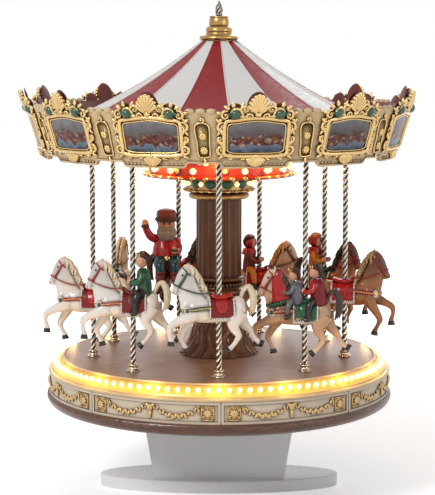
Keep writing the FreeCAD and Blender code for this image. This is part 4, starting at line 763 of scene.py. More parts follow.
def plaque_outline():
    half = [(3.8, 4.6), (4.4, 14.0), (5.0, 26.0), (0.0, 28.6)]
    return [(HALF_GAP + x, y) for x, y in half] + [(HALF_GAP - x, y) for x, y in reversed(half[:-1])]


def plaque_ground():
    """The flat ground of the gap between two frames."""
    return grid([[Vector((x, y, lift)) for x, y in plaque_outline()] for lift in (-0.3, 0.3)])


def crown_plaque():
    edge = [(x, y, 0.4, 0.8, 0.7) for x, y in plaque_outline()]
    rim = tube(smooth_path(edge + edge[:1], 4)[:-1], 8, UP, 1, closed=True)
    curl = scroll(HALF_GAP, 30.6, 2.0, 1.2, 270, 0.6, 0.8, 1)
    return joined([rim, curl, leaf(HALF_GAP, 3.6, 4.6, 1.2, -90, 0.6, 0.8)])


def crown_shell():
    return shifted(shell(15.0, 14.6, 1.4, 9, 1.35), y=PICTURE_TOP + 5.6)


def crown_edge():
    """The scallops along the crown's top edge between two crests."""
    places = [(HALF_GAP + shift, CROWN_HEIGHT + 0.2, -1.2) for shift in (-7.6, 0.0, 7.6)]
    return joined([ellipsoid(place, (4.0, 2.6, 1.9), 12, 8) for place in places])


def make_crown():
    frame_shape, crest, fan, edge = crown_frame(), crown_crest(), crown_shell(), crown_edge()
    turned_shell = placed(shell(13.0, 8.2, 0.8, 9, 1.05), Matrix.Rotation(math.pi, 4, "Z"))
    lower = shifted(turned_shell, y=PICTURE_RISE - 3.0)
    knobs = [rosette(HALF_GAP, rise, 3.0, 0.3) for rise in (9.0, 19.0)]
    pads = [ellipsoid((HALF_GAP, rise, 0.1), (3.0, 3.0, 0.9)) for rise in (9.0, 19.0)]
    gems, trim, plaque, ground = crown_gems(), crown_trim(), crown_plaque(), plaque_ground()
    frames, gilt, bronze, cream = [], [], [], []
    for angle in CROWN_ANGLES:
        frames.append((on_crown(frame_shape, angle), GOLD))
        bronze += [(on_crown(gems, angle), JEWEL), (on_crown(ground, angle), TAN_GOLD)]
        gilt += [(on_crown(shape, angle), GOLD) for shape in [fan, crest, lower, plaque] + knobs]
        cream += [(on_crown(shape, angle), CREAM) for shape in [edge, trim] + pads]
    piece("picture_frames", frames, "carousel", "crown_frames")
    piece("crown_crests", gilt + bronze + cream, "carousel", "crown_ornaments")


def make_swag_lining():
    """The red inner face of the crown, with the pierced backs of the crests above it."""
    bottom, back, face = CROWN_BOTTOM + 4.0, -3.15, -3.3
    corners = [(bottom, back), (CROWN_TOP, back), (CROWN_TOP, face), (bottom, face)]
    shapes = [ring([(crown_radius(height) + depth, height) for height, depth in corners])]
    lobes = ((0.0, 4.0, 8.0, 10.5), (-16.0, 0.5, 6.4, 6.0), (16.0, 0.5, 6.4, 6.0))
    for angle in CROWN_ANGLES:
        for side, rise, wide, tall in lobes:
            lobe = ellipsoid((side, CROWN_HEIGHT + rise, -1.6), (wide, tall, 0.9), 20, 8)
            shapes.append(on_crown(lobe, angle))
    piece("crown_lining", [(shape, BROWN_RED) for shape in shapes], "carousel", slot="red_paint")


def corner_block(x, middle):
    """A rosette and four curls in a square frame."""
    corners = [(x - 4.4, 3.4), (x + 4.4, 3.4), (x + 4.4, 13.1), (x - 4.4, 13.1)]
    shapes = [ellipsoid((x, middle, 0.0), (4.3, 4.8, 0.5)), rosette(x, middle, 3.2, 0.4)]
    for start, end in zip(corners, corners[1:] + corners[:1]):
        shapes.append(tube([(*start, 0.5, 0.5, 0.5), (*end, 0.5, 0.5, 0.5)], 8, UP, 1))
    for curl_x, curl_y, start in ((2.6, 3.2, 200), (-2.6, 3.2, -20), (2.6, -3.2, 160), (-2.6, -3.2, 20)):
        hand = 1 if curl_x * curl_y > 0 else -1
        shapes.append(scroll(x + curl_x, middle + curl_y, 1.5, 1.1, start, 0.4, 0.55, hand))
    return shapes


def half_garland(side, far, top):
    """Leaves and berries hung between the middle of a panel and one end."""
    near, count, sag = 3.0, 15, 6.2
    shapes = []
    for step in range(count):
        share = step / (count - 1)
        swell = 0.75 + 0.6 * math.sin(math.pi * share)
        place = (side * (near + (far - near) * share), top - sag * (1 - (2 * share - 1) ** 2))
        turn = 90 - 30 * side
        shapes.append(leaf(*place, 2.6, swell, turn if step % 2 else -turn, 0.6, 0.7))
        shapes.append(ellipsoid((*place, 0.7), (swell, swell, 0.9), 8, 6))
    shapes.append(leaf(side * far, top, 5.0, 0.8, -80, 0.5, 0.6))
    shapes.append(scroll(side * far, top + 0.6, 1.4, 1.2, 0, 0.5, 0.5, side))
    shapes.append(leaf(0, top - 0.4, 4.6, 1.2, 90 - side * 55, 0.6, 0.8))
    return shapes


def make_garlands():
    block_x = FIELD_RADIUS * math.pi / PANEL_COUNT - 9.5
    tall = WALL_TOP - WALL_BOTTOM
    top = tall - 4.6
    shapes = [rosette(0, top - 0.6, 2.6, 0.7), leaf(0, top - 1.0, 8.2, 1.5, -90, 0.6, 0.9)]
    for side in SIDES:
        shapes += corner_block(side * block_x, tall / 2) + half_garland(side, block_x - 7.0, top)
    flat = joined(shapes)
    angles = [PANEL_FIRST + 360.0 / PANEL_COUNT * index for index in range(PANEL_COUNT)]
    piece("panel_garlands", [(on_wall(flat, angle), GARLAND) for angle in angles], "base", "base_garlands")


# Column and finial


def make_column_base():
    """A flared foot carved as ropes of root that twist and gather towards the shaft."""
    collar_low = DECK_TOP + 0.8 * (COLUMN_BASE_TOP - DECK_TOP)
    levels, steps = 64, 196
    rows = []
    for level in range(levels):
        share = level / (levels - 1)
        height = DECK_TOP + (collar_low - DECK_TOP) * share
        core = 15.5 + 15.0 * (1 - share) ** 2.2 + 2.2 * share**3
        row = []
        for turn in round_angles(steps):
            twist = 14 * turn + 1.6 * math.sin(3 * turn) + 1.2 * math.sin(5.0 * share * math.pi + 2 * turn)
            rope = abs(math.cos(twist / 2)) ** 0.7
            thread = 0.25 * math.cos(5 * twist)
            radius = core + (2.6 - 1.2 * share) * (rope - 0.55) + thread * (1 - 0.5 * share)
            row.append(Vector((radius * math.cos(turn), radius * math.sin(turn), height)))
        rows.append(row)
    lower = [(14.0, -2.5), (18.5, -2.0), (20.4, -0.8), (20.8, 0.6), (20.2, 2.0), (18.4, 2.8), (17.2, 4.0)]
    upper = [(17.3, -4.2), (18.6, -3.6), (20.2, -2.4), (20.4, -1.2), (18.6, 0.0)]
    profile = [(radius, collar_low + rise) for radius, rise in lower]
    profile += [(radius, COLUMN_BASE_TOP + rise) for radius, rise in upper]
    middle = (collar_low + COLUMN_BASE_TOP) / 2
    shapes = [grid(rows), lathe(profile, 96)]
    shapes += [ellipsoid(spot(17.6, 10 * index, middle), (1.3, 1.3, 2.0), 8, 6) for index in range(36)]
    piece("carved_column_foot", [(shape, BARK) for shape in shapes], "carousel", "column_base")


def make_capital_trim():
    """Green panels round the capital, and gilt scallops and stars on the red inner crown."""
    parts = []
    tile = shifted(ellipsoid((0, 0, 0), (4.6, 0.8, 3.6), 10, 6), y=-CAPITAL_RADIUS, z=CAPITAL_MIDDLE)
    for index in range(12):
        parts.append((around_axis(tile, 15 + 30 * index), GREEN))
    star = placed(rosette(0, 0, 2.8, 0.2), Matrix.Rotation(math.radians(90), 4, "X"))
    for index in range(36):
        turn = 10 * index
        parts.append((ellipsoid(spot(58.0, turn, CEILING_BOTTOM - 19.6), (2.5, 2.5, 1.5), 10, 6), GOLD))
        parts.append((ellipsoid(spot(58.2, turn + 5, CEILING_BOTTOM - 1.4), (2.2, 2.2, 1.3), 10, 6), GOLD))
        if index % 2 == 0:
            height = INNER_CROWN_MIDDLE + (LAMP_ROW_SHIFT if index % 4 else -LAMP_ROW_SHIFT)
            parts.append((around_axis(shifted(star, y=-INNER_CROWN_RADIUS, z=height), turn + 5), GOLD))
    for index in range(24):
        bead = ellipsoid(spot(26.8, 15 * index, CEILING_BOTTOM - 32.2), (2.0, 2.0, 1.2), 8, 6)
        parts.append((bead, GOLD))
    piece("inner_crown_trim", parts, "carousel", slot="old_gold")


def make_finial():
    base = low("finial_flame").z
    tall = high("finial_flame").z - base
    parts = []
    for strand in range(5):
        line = []
        for step in range(14):
            share = step / 13
            turn = math.radians(72 * strand + 190 * share)
            out = 2.3 * math.sin(math.pi * min(1, share * 1.05)) ** 0.8 * (1 - 0.4 * share)
            thick = 1.5 * (1 - share) ** 0.7 + 0.12
            line.append((out * math.cos(turn), out * math.sin(turn), base + tall * share, thick))
        parts.append((tube(line, 8, AHEAD, 1), SILVER))
    parts.append((ellipsoid((0, 0, base + 1.0), (2.6, 2.6, 1.4)), SILVER))
    piece("flame_finial", parts, "carousel", "finial_flame")


# Poles


def pole_foot(pole):
    return (low(pole) + high(pole)) / 2


def twisted_pole(bottom, top):
    """A bar wound from three strands, with deep grooves between them."""
    pitch, strands, sides, step = 15.0, 3, 18, 0.62
    rows = []
    count = int((top - bottom) / step)
    for level in range(count + 1):
        height = bottom + (top - bottom) * level / count
        row = []
        for turn in round_angles(sides):
            lobe = abs(math.cos(strands / 2 * (turn - 2 * math.pi * height / pitch)))
            radius = POLE_RADIUS * (0.62 + 0.38 * lobe**0.8)
            row.append(Vector((radius * math.cos(turn), radius * math.sin(turn), height)))
        rows.append(row)
    return grid(rows)


def make_ferrules():
    profile = [
        (2.4, 0.0), (5.0, 0.0), (5.1, 0.7), (4.4, 1.2), (3.6, 1.8), (3.2, 2.7), (3.1, 3.6), (3.7, 4.1),
        (3.8, 4.7), (3.3, 5.4), (2.45, 5.5),
    ]
    shape = lathe(profile, 28)
    feet = [pole_foot("pole_%d" % (index + 1)) for index in range(POLE_COUNT)]
    parts = [(shifted(shape, foot.x, foot.y, DECK_TOP), BRASS) for foot in feet]
    piece("bell_ferrules", parts, "carousel", "pole_ferrules")


# Horses, facing +X with the pole on the origin


LEG_SPREAD = 4.6


def legs():
    """The four legs' lines: near fore, far fore, near hind, far hind."""
    near, far = LEG_SPREAD, -LEG_SPREAD
    near_fore = [
        (19, 0.8 * near, -1, 3.6, 5.2), (25, near, -4, 3.2, 3.8), (31, near, -6.5, 2.4, 2.7),
        (36.4, near, -9.6, 2.0, 2.2), (37.6, near, -13, 1.45, 1.6), (37.2, near, -17, 1.3, 1.4),
        (36.2, near, -20, 1.7, 1.7), (36.3, near, -21.6, 1.7, 1.8),
    ]
    far_fore = [
        (18, 0.8 * far, -1, 3.6, 5.0), (22, far, -8, 3.0, 3.5), (25.4, far, -13.5, 2.3, 2.6),
        (28, far, -18.5, 1.9, 2.1), (27, far, -22, 1.4, 1.5), (25.6, far, -25, 1.35, 1.4),
        (24.4, far, -27.4, 1.7, 1.7), (24.2, far, -28.4, 1.7, 1.8),
    ]
    near_hind = [
        (-13, 0.75 * near, 0, 4.4, 7.0), (-10.5, near, -7, 3.6, 5.2), (-10.4, near, -12, 2.6, 3.4),
        (-13.6, near, -18, 1.9, 2.2), (-12.2, near, -22, 1.5, 1.6), (-9.6, near, -25.4, 1.4, 1.5),
        (-7.4, near, -27.6, 1.7, 1.7), (-6.6, near, -28.3, 1.7, 1.8),
    ]
    far_hind = [
        (-14, 0.75 * far, 0, 4.4, 7.0), (-17, far, -7, 3.6, 4.8), (-20.5, far, -12, 2.5, 3.2),
        (-24, far, -15.6, 1.9, 2.2), (-25.6, far, -19, 1.5, 1.6), (-28, far, -22.6, 1.4, 1.5),
        (-30.6, far, -24.8, 1.7, 1.7), (-31.5, far, -25.3, 1.7, 1.8),
    ]
    return [near_fore, far_fore, near_hind, far_hind]


def hooves():
    shapes = []
    for line in legs():
        end, before = Vector(line[-1][:3]), Vector(line[-2][:3])
        ahead = (end - before).normalized()
        tip = end + ahead * 2.6
        stations = [(*(end - ahead * 0.6), 2.1, 2.2), (*end, 2.3, 2.4), (*tip, 2.7, 3.0)]
        shapes.append(tube(stations, 12, steps=2))
    return joined(shapes)


def horse_form():
    torso = [
        (-19, 0, 2.5, 3.2, 4.2), (-16, 0, 2.4, 6.6, 8.2), (-8, 0, 0.8, 7.6, 8.8), (4, 0, 0.2, 7.8, 9.0),
        (15, 0, 1.4, 7.6, 9.6), (22, 0, 3.2, 6.0, 8.4), (26, 0, 4.4, 3.4, 4.8),
    ]
    neck = [
        (17, 0, 3, 6.2, 9.8), (20.4, 0, 10, 5.5, 9.4), (22.2, 0, 17, 4.6, 8.0), (22.6, 0, 23, 3.9, 6.4),
        (22.6, 0, 29, 3.1, 4.6),
    ]
    head = [
        (21, 0, 31.6, 2.2, 2.8), (23.8, 0, 30.2, 3.5, 4.3), (27.0, 0, 26.4, 3.3, 4.1),
        (29.8, 0, 21.8, 2.6, 3.2), (31.8, 0, 17.6, 2.2, 2.5), (33.2, 0, 14.6, 2.3, 2.6),
        (33.9, 0, 13.0, 1.5, 1.8),
    ]
    breast, wishbone = ((24.6, 0, 4.0), (4.4, 6.0, 6.6)), ((26.2, 0, 1.5), (2.6, 3.6, 4.4))
    cheek, brow = ((24.6, 1.6, 25.2), (2.8, 1.7, 3.4)), ((27.0, 2.5, 27.3), (1.5, 1.0, 1.1))
    chin, nostril = ((30.6, 0, 13.6), (1.7, 1.4, 1.3)), ((33.2, 1.5, 14.8), (1.2, 0.9, 1.4))
    haunch, shoulder = ((-13.0, 4.2, 2.0), (5.6, 4.0, 6.6)), ((19.0, 4.6, 1.0), (4.6, 3.2, 6.6))
    shapes = [tube(torso, 20), tube(neck, 16), tube(head, 16)]
    shapes += [ellipsoid(*swell) for swell in (breast, wishbone, chin)]
    shapes += [pair(*swell, 14, 9) for swell in (cheek, brow, nostril, haunch, shoulder)]
    for side in SIDES:
        ear = [
            (22.4, 1.7 * side, 30.6, 1.0, 0.7), (22.2, 2.1 * side, 33.2, 1.1, 0.6),
            (22.9, 2.2 * side, 36.2, 0.25, 0.2),
        ]
        shapes.append(tube(ear, 8, AHEAD))
    for line in legs():
        shapes.append(tube([(x, y, z, 1.16 * wide, 1.16 * deep) for x, y, z, wide, deep in line], 16))
    return fused(shapes, 0.42, 7)


def mane_form():
    shapes = []
    crest = smooth_path([(11.5, 11.5), (14.0, 18.5), (17.0, 25.0), (20.6, 31.0), (24.2, 32.6)], 3)
    for index, (x, z) in enumerate(crest):
        fall = 5.6 + 2.0 * math.sin(1.7 * index)
        for side in SIDES:
            out = (2.8 + 0.7 * math.sin(2.3 * index + side)) * side
            lock = [
                (x + 2.0, 0.3 * side, z - 0.2, 0.8, 1.2), (x - 1.0, 1.3 * side, z + 0.8, 1.0, 1.5),
                (x - 3.6, 0.72 * out, z - 0.35 * fall, 0.95, 1.4),
                (x - 3.4, out, z - 0.8 * fall, 0.7, 1.0), (x - 4.4, 0.9 * out, z - 1.15 * fall, 0.2, 0.3),
            ]
            shapes.append(tube(lock, 8))
    for side in (-1, 0, 1):
        lock = [
            (23.0, 0.6 * side, 32.8, 0.8, 1.0), (26.2, 1.0 * side, 31.6, 0.8, 1.0),
            (28.4, 1.2 * side, 28.0, 0.2, 0.3),
        ]
        shapes.append(tube(lock, 8))
    return joined(shapes)


def tail_form():
    shapes = []
    places = [(math.cos(turn), math.sin(turn)) for turn in round_angles(8)]
    for side, out in places + [(0.0, 0.0)]:
        lock = [
            (-15.5, 0.4 * side, 7.5 + 0.4 * out, 1.0), (-18.0, 0.9 * side, 14.5 + 0.8 * out, 1.2),
            (-21.8 - 0.8 * out, 1.3 * side, 17.4 + 0.6 * out, 1.3),
            (-25.4 - 1.4 * out, 1.7 * side, 11.5, 1.4), (-25.6 - 1.4 * out, 1.5 * side, 3.6, 1.2),
            (-24.2 - 1.8 * out, 1.2 * side, -3.5 + out, 0.3),
        ]
        shapes.append(tube(lock, 8))
    return joined(shapes)


def torso_line(x, turn, out):
    """A point on the barrel at a length and an angle down from the top, raised by out."""
    return Vector((x, (7.8 + out) * math.sin(turn), 0.6 + (9.0 + out) * math.cos(turn)))


def blanket_form():
    """A cloth over the barrel and down both flanks, with a rolled edge."""
    rows = []
    for out, order in ((1.0, 1), (0.2, -1)):
        for step in range(13):
            x = -9.8 + 17.6 * (step if order == 1 else 12 - step) / 12
            rise = out + 0.03 * math.cos(math.pi * (x + 1) * 0.9)
            rows.append([torso_line(x, BLANKET_DROP * (index / 16 - 1), rise) for index in range(33)])
    rows.append(rows[0])
    return grid(rows, closed_round=False, capped=False)


def lace_form():
    """Looped lace round the edge of the blanket."""
    shapes = []
    for side in SIDES:
        for step in range(10):
            x, y, z = torso_line(-9.6 + 17.2 * step / 9, side * (BLANKET_DROP + 0.05), 0.9)
            loop = [(x - 0.9, y, z + 0.5, 0.45), (x, y * 1.03, z - 1.9, 0.55), (x + 0.9, y, z + 0.5, 0.45)]
            shapes.append(tube(loop, 6, steps=3))
        for x in (-9.9, 7.9):
            line = [torso_line(x, side * BLANKET_DROP * share / 6, 1.1) for share in range(2, 7)]
            shapes.append(tube([(*point, 0.55) for point in line], 6, AHEAD, 3))
            for share in range(2, 7):
                place = torso_line(x, side * BLANKET_DROP * share / 6.2, 1.4)
                shapes.append(ellipsoid(place, (0.8, 0.8, 0.8), 8, 5))
    return joined(shapes)


def saddle_form():
    seat = [
        (-9.2, 0, 12.4, 4.4, 1.0), (-7.6, 0, 11.6, 5.4, 1.8), (-3, 0, 10.2, 5.8, 1.9),
        (3, 0, 10.4, 5.2, 1.9), (5.6, 0, 12.0, 3.4, 1.6), (6.4, 0, 13.8, 1.6, 0.9),
    ]
    shapes = [tube(seat, 16)]
    for side in SIDES:
        line = [torso_line(-1.0, side * math.radians(turn), 1.2) for turn in (25, 50, 75, 96)]
        flap = [(*point, wide, 0.5) for point, wide in zip(line, (4.6, 4.8, 4.2, 2.4))]
        shapes.append(tube(flap, 12, AHEAD, 3))
    return joined(shapes)


def strap(points, wide, thick, side=UP, closed=False):
    return tube([(*point, wide, thick) for point in points], 8, side, 1 if closed else 4, closed)


def ring_round(centre, ahead, half_side, half_other, wide, thick):
    """A strap round the head or neck, square to a direction in the middle plane."""
    forward = Vector(ahead).normalized()
    other = forward.cross(ACROSS)
    points = []
    for turn in round_angles(20):
        offset = ACROSS * (half_side * math.cos(turn)) + other * (half_other * math.sin(turn))
        points.append(Vector(centre) + offset)
    return strap(points, wide, thick, forward, True)


def tack_form():
    nose = ring_round((31.0, 0, 19.2), (1.9, 0, -4.0), 2.8, 3.3, 0.55, 0.4)
    brow = ring_round((23.6, 0, 29.0), (0.9, 0, -0.9), 3.9, 5.0, 0.6, 0.4)
    shapes = [nose, brow]
    for side in SIDES:
        cheek = [(30.2, 2.8 * side, 19.2), (27.0, 3.6 * side, 23.6), (24.2, 3.8 * side, 28.8)]
        rein = [
            (29.4, 2.6 * side, 18.0), (22, 5.6 * side, 15.5), (13, 5.2 * side, 13.6),
            (6.6, 2.0 * side, 13.6),
        ]
        chest = [
            (7.4, 8.9 * side, 3.4), (13, 9.0 * side, 3.2), (19, 8.4 * side, 2.4), (24, 6.4 * side, 1.8),
            (27.4, 3.4 * side, 1.4), (28.8, 0, 1.2),
        ]
        shapes += [strap(cheek, 0.6, 0.4), strap(rein, 0.45, 0.4), strap(chest, 1.5, 0.5)]
    return joined(shapes)


def tack_beads():
    shapes = [pair((23.4, 3.6, 29.6), (0.9, 0.5, 0.9))]
    for side in SIDES:
        line = [
            (7.8, 9.5 * side, 3.4), (13, 9.6 * side, 3.2), (19, 9.0 * side, 2.4), (24, 7.0 * side, 1.8),
            (27.8, 3.8 * side, 1.4),
        ]
        shapes += [ellipsoid(point, (0.55, 0.55, 0.55), 8, 5) for point in smooth_path(line, 5)]
    return joined(shapes)


def breast_medal():
    places = [(24.6 + 1.6 * math.cos(turn), 6.8, 1.6 + 2.2 * math.sin(turn)) for turn in round_angles(8)]
    return joined([pair(place, (0.9, 0.7, 0.9), 8, 5) for place in places])


def neck_cape():
    """A hood and short cape over the head and neck, with a leafy collar."""
    hood = [
        (21.2, 0, 33.4, 1.6, 1.6), (20.0, 0, 30.4, 3.8, 4.4), (20.4, 0, 24, 4.6, 7.0),
        (19.6, 0, 17, 5.4, 8.6), (18.0, 0, 9.5, 6.8, 9.8),
    ]
    leaves = []
    for index, turn in enumerate(round_angles(26)):
        place = (18.4 + 9.6 * math.cos(turn), 7.6 * math.sin(turn), 8.6 - 2.6 * math.cos(turn))
        leaves.append(ellipsoid(place, (1.6, 1.5, 1.4 + 0.4 * (index % 2)), 8, 6))
    return [(tube(hood, 20), RED), (joined(leaves), GREEN)]


# Riders, facing +X with the seat on z = 0


def rider_head(hair):
    """A doll's head with its hair."""
    face = [
        ellipsoid((1.4, 0, 16.8), (3.3, 3.2, 3.7), 16, 12),
        ellipsoid((4.6, 0, 16.3), (0.55, 0.5, 0.5), 8, 6), pair((1.2, 3.1, 16.5), (0.7, 0.5, 0.9)),
    ]
    brows = [[(4.2, 0.6 * side, 18.5, 0.2), (4.1, 1.9 * side, 18.4, 0.16)] for side in SIDES]
    locks = []
    for index in range(9):
        side = (index - 4) / 4
        out = abs(side)
        lock = [
            (3.4 - out, 2.4 * side, 19.6, 0.8), (0.6, 2.9 * side, 20.6 - 0.8 * out, 1.2),
            (-2.0, 2.8 * side, 18.0, 1.1), (-1.9, 2.4 * side, 14.8, 0.5),
        ]
        locks.append(tube(lock, 8, steps=4))
    eyes = pair((4.3, 1.2, 17.3), (0.34, 0.46, 0.56))
    mouth = ellipsoid((4.15, 0, 14.9), (0.35, 0.8, 0.22), 8, 5)
    brow_shape = joined([tube(brow, 6, steps=1) for brow in brows])
    return [(joined(face), SKIN), (brow_shape, hair), (eyes, BLACK), (mouth, RED), (joined(locks), hair)]


def rider_hat(hat, hood):
    """A cap with a fur brim, a hood with its collar, or a band of gilt beads over the brow."""
    if hat:
        cap = [(1.0, 0, 18.9, 3.9), (1.0, 0, 21.0, 4.1), (1.0, 0, 22.6, 3.5), (1.0, 0, 23.3, 1.2)]
        brim = [(1.0 + 3.9 * math.cos(turn), 3.9 * math.sin(turn), 18.9, 0.9) for turn in round_angles(18)]
        return [(tube(cap, 14, steps=4), hat), (tube(brim, 8, steps=1, closed=True), FUR)]
    if hood:
        collar = [(0.0, 0, 13.6, 4.4, 3.4), (0.2, 0, 11.4, 5.2, 4.2), (0.2, 0, 9.8, 5.4, 4.4)]
        over_head = ellipsoid((0.3, 0, 17.3), (3.7, 4.0, 4.5), 16, 12)
        return [(over_head, hood), (tube(collar, 14, steps=3), hood)]
    turns = [math.pi * (index / 8 - 0.5) for index in range(9)]
    places = [(1.2 + 3.3 * math.cos(turn), 3.3 * math.sin(turn), 19.8) for turn in turns]
    return [(joined([ellipsoid(place, (0.45, 0.45, 0.7), 8, 5) for place in places]), GOLD)]


def rider_beard(hair):
    """A full beard, and a belt with its buckle."""
    curls = []
    for index in range(11):
        side = (index - 5) / 5
        out = abs(side)
        curls.append(
            [
                (3.4 - 1.6 * out, 2.6 * side, 15.6, 0.9), (5.0 - 1.8 * out, 2.9 * side, 13.4, 1.2),
                (5.0 - 1.6 * out, 2.3 * side, 10.6 + 1.2 * out, 0.5),
            ]
        )
    for side in SIDES:
        curls.append([(4.7, 0, 15.5, 0.6), (4.8, 1.5 * side, 15.1, 0.7), (4.0, 2.8 * side, 14.9, 0.2)])
    beard = [tube(curl, 8, steps=4) for curl in curls]
    beard.append(ellipsoid((2.9, 0, 13.4), (2.7, 4.1, 3.8), 16, 10))
    belt = [(0.6 + 5.5 * math.cos(turn), 6.1 * math.sin(turn), 3.2, 0.9, 0.4) for turn in round_angles(20)]
    buckle = ellipsoid((6.3, 0, 3.2), (0.5, 1.3, 1.2))
    return [(joined(beard), hair), (tube(belt, 8, UP, 1, closed=True), BLACK), (buckle, GOLD)]


def rider_arms(coat, waving):
    """Arms reaching for the reins. A waving rider lifts one of them and has fur cuffs."""
    parts = []
    for side in SIDES:
        arm = [
            (0.9, 3.4 * side, 10.8, 1.8), (2, 5.0 * side, 7.4, 1.6), (5, 4.2 * side, 5.8, 1.4),
            (7.4, 2.8 * side, 6.6, 1.2),
        ]
        if waving and side < 0:
            arm = [
                (0.9, -3.4, 10.8, 1.9), (1.6, -6.2, 11.6, 1.8), (2.2, -8.2, 14.6, 1.5),
                (2.4, -8.8, 17.6, 1.4),
            ]
        end = Vector(arm[-1][:3])
        parts += [(tube(arm, 10, AHEAD, 4), coat), (ellipsoid(end, (1.5, 1.4, 1.5)), SKIN)]
        if waving:
            cuff = end - UP * (1.4 if side < 0 else -0.2)
            parts.append((ellipsoid(cuff, (1.8, 1.8, 0.9)), FUR))
    return parts


def rider_legs(cloth, boots, spread_to, sideways):
    """Legs astride the saddle, or side by side for a rider who sits across it."""
    parts = []
    for side in SIDES:
        knee = side * spread_to
        leg = [
            (0.4, 2.4 * side, 1.4, 2.1), (3.2, 0.8 * knee, 0.3, 2.0), (4.4, knee, -3.6, 1.7),
            (4.4, knee, -6.4, 1.4),
        ]
        boot = [(4.4, knee, -6.2, 1.6), (4.4, knee, -8.4, 1.5), (6.6, knee, -9.2, 1.1)]
        if sideways:
            out = 3.0 * side
            leg = [
                (1.0, 0.75 * out, 1.0, 2.5), (5.0, 0.95 * out, 1.8, 2.5), (7.2, out, 0.2, 2.2),
                (7.2, out, -2.4, 1.9),
            ]
            boot = [(7.2, out, -1.8, 2.1), (7.2, out, -4.2, 2.0), (9.8, 1.06 * out, -5.0, 1.6)]
        parts += [(tube(leg, 12, AHEAD), cloth), (tube(boot, 10, AHEAD), boots)]
    return parts


def rider(
    scale, coat, legs_paint, hair, hat=None, hood=None, beard=False, cloak=None, boots=BLACK, turn=0.0,
):
    body = [
        (0, 0, -1, 4.2, 3.6), (0.2, 0, 4, 4.3, 3.7), (0.7, 0, 8.6, 4.7, 3.5), (1, 0, 11.6, 3.6, 2.8),
        (1, 0, 13.0, 1.5, 1.5),
    ]
    if beard:
        body = [
            (0, 0, -1, 5.2, 4.8), (0.6, 0, 3.4, 6.0, 5.4), (0.7, 0, 8.4, 5.3, 4.4), (1, 0, 11.6, 3.8, 3.0),
            (1, 0, 13, 1.6, 1.6),
        ]
    parts = [(tube(body, 14), coat)] + rider_head(hair) + rider_hat(hat, hood)
    if beard:
        parts += rider_beard(hair)
    parts += rider_arms(coat, beard)
    if cloak:
        fall = [
            (0.0, 0, 12.6, 2.6, 2.2), (-0.8, 0, 9.8, 5.2, 4.0), (-1.0, 0, 5, 5.6, 4.6),
            (-1.4, 0, -1, 6.0, 5.0),
        ]
        parts.append((tube(fall, 16), cloak))
    parts += rider_legs(legs_paint, boots, SADDLE_HALF_WIDTH / scale + 1, turn != 0)
    facing = Matrix.Rotation(math.radians(turn), 4, "Z") @ Matrix.Scale(scale, 4)
    return [(placed(shape, facing), material) for shape, material in parts]


# Dress of each horse: coat, mane, tail, saddle, blanket, tack, collar stone
DRESS = [
    ("white", "cream", "cream", RED, WINE, GREEN, GREEN),
    ("tan", "dark", "dark", GREEN, GREEN, RED, GREEN), ("brown", "striped", "dark", RED, RED, RED, GOLD),
    ("brown", "dark", "dark", GREEN, GREEN, RED, GOLD), ("tan", "gold", "gold", RED, RED, BROWN_RED, GOLD),
    ("dark", "dark", "dark", RED, RED, BLACK, GOLD), ("white", "cream", "cream", GREEN, RED, RED, GREEN),
    ("white", "cream", "cream", RED, WINE, RED, GREEN),
    ("white", "cream", "cream", BROWN_RED, WINE, RED, GREEN),
]


def rider_parts(index):
    """The figures on one horse, with the place of each along the saddle."""
    if index == 1:
        first = rider(1.2, BLUE_GREY, BLUE_GREY, DARK_HAIR, cloak=BLUE_GREY)
        return [(7.0, first), (-9.0, rider(1.35, RED, BLACK, DARK_HAIR, cloak=WINE))]
    if index == 3:
        return [(-9.0, rider(1.45, TAN, BROWN_RED, TAN, hood=RED))]
    if index == 4:
        return [(-9.0, rider(1.45, BROWN_RED, TAN, DARK_HAIR, hood=RED))]
    if index == 5:
        dress = {"hat": BROWN_RED, "beard": True, "boots": BROWN_RED, "turn": -105.0}
        return [(-11.0, rider(2.05, RED, TEAL, GREY_HAIR, **dress))]
    if index == 8:
        return [(-9.0, rider(1.5, GREEN, BLACK, DARK_HAIR))]
    return []


def clamped(value):
    return min(1.0, max(0.0, value))


def coat_tone(point):
    """How far the coat has turned to its second colour: on the shins, the muzzle and up the neck."""
    shin = clamped((-14.0 - point.z) / 12.0)
    head = clamped((point.z - 10.0) / 14.0) * clamped((point.x - 10.0) / 8.0)
    return 0.8 * max(0.7 * shin, head)


def make_pole(name, node, pole):
    foot = pole_foot(pole)

    # Painted shade: the tone rises with depth into the grooves, where the pole is painted near black.
    def groove(point):
        depth = POLE_RADIUS - math.hypot(point.x - foot.x, point.y - foot.y)
        return clamped((depth / POLE_RADIUS - 0.05) / 0.14)

    rod = shifted(twisted_pole(low(pole).z, high(pole).z), foot.x, foot.y)
    piece("twisted_pole_" + name, [(rod, POLE)], node, pole, tone=groove)


def make_horse(name, node, parts, seat):
    home = seat.inverted()

    def tone(point):
        return coat_tone(home @ point)

    moved = [(placed(shape, seat), material) for shape, material in parts]
    piece("carved_horse_" + name, moved, node, node, tone=tone)


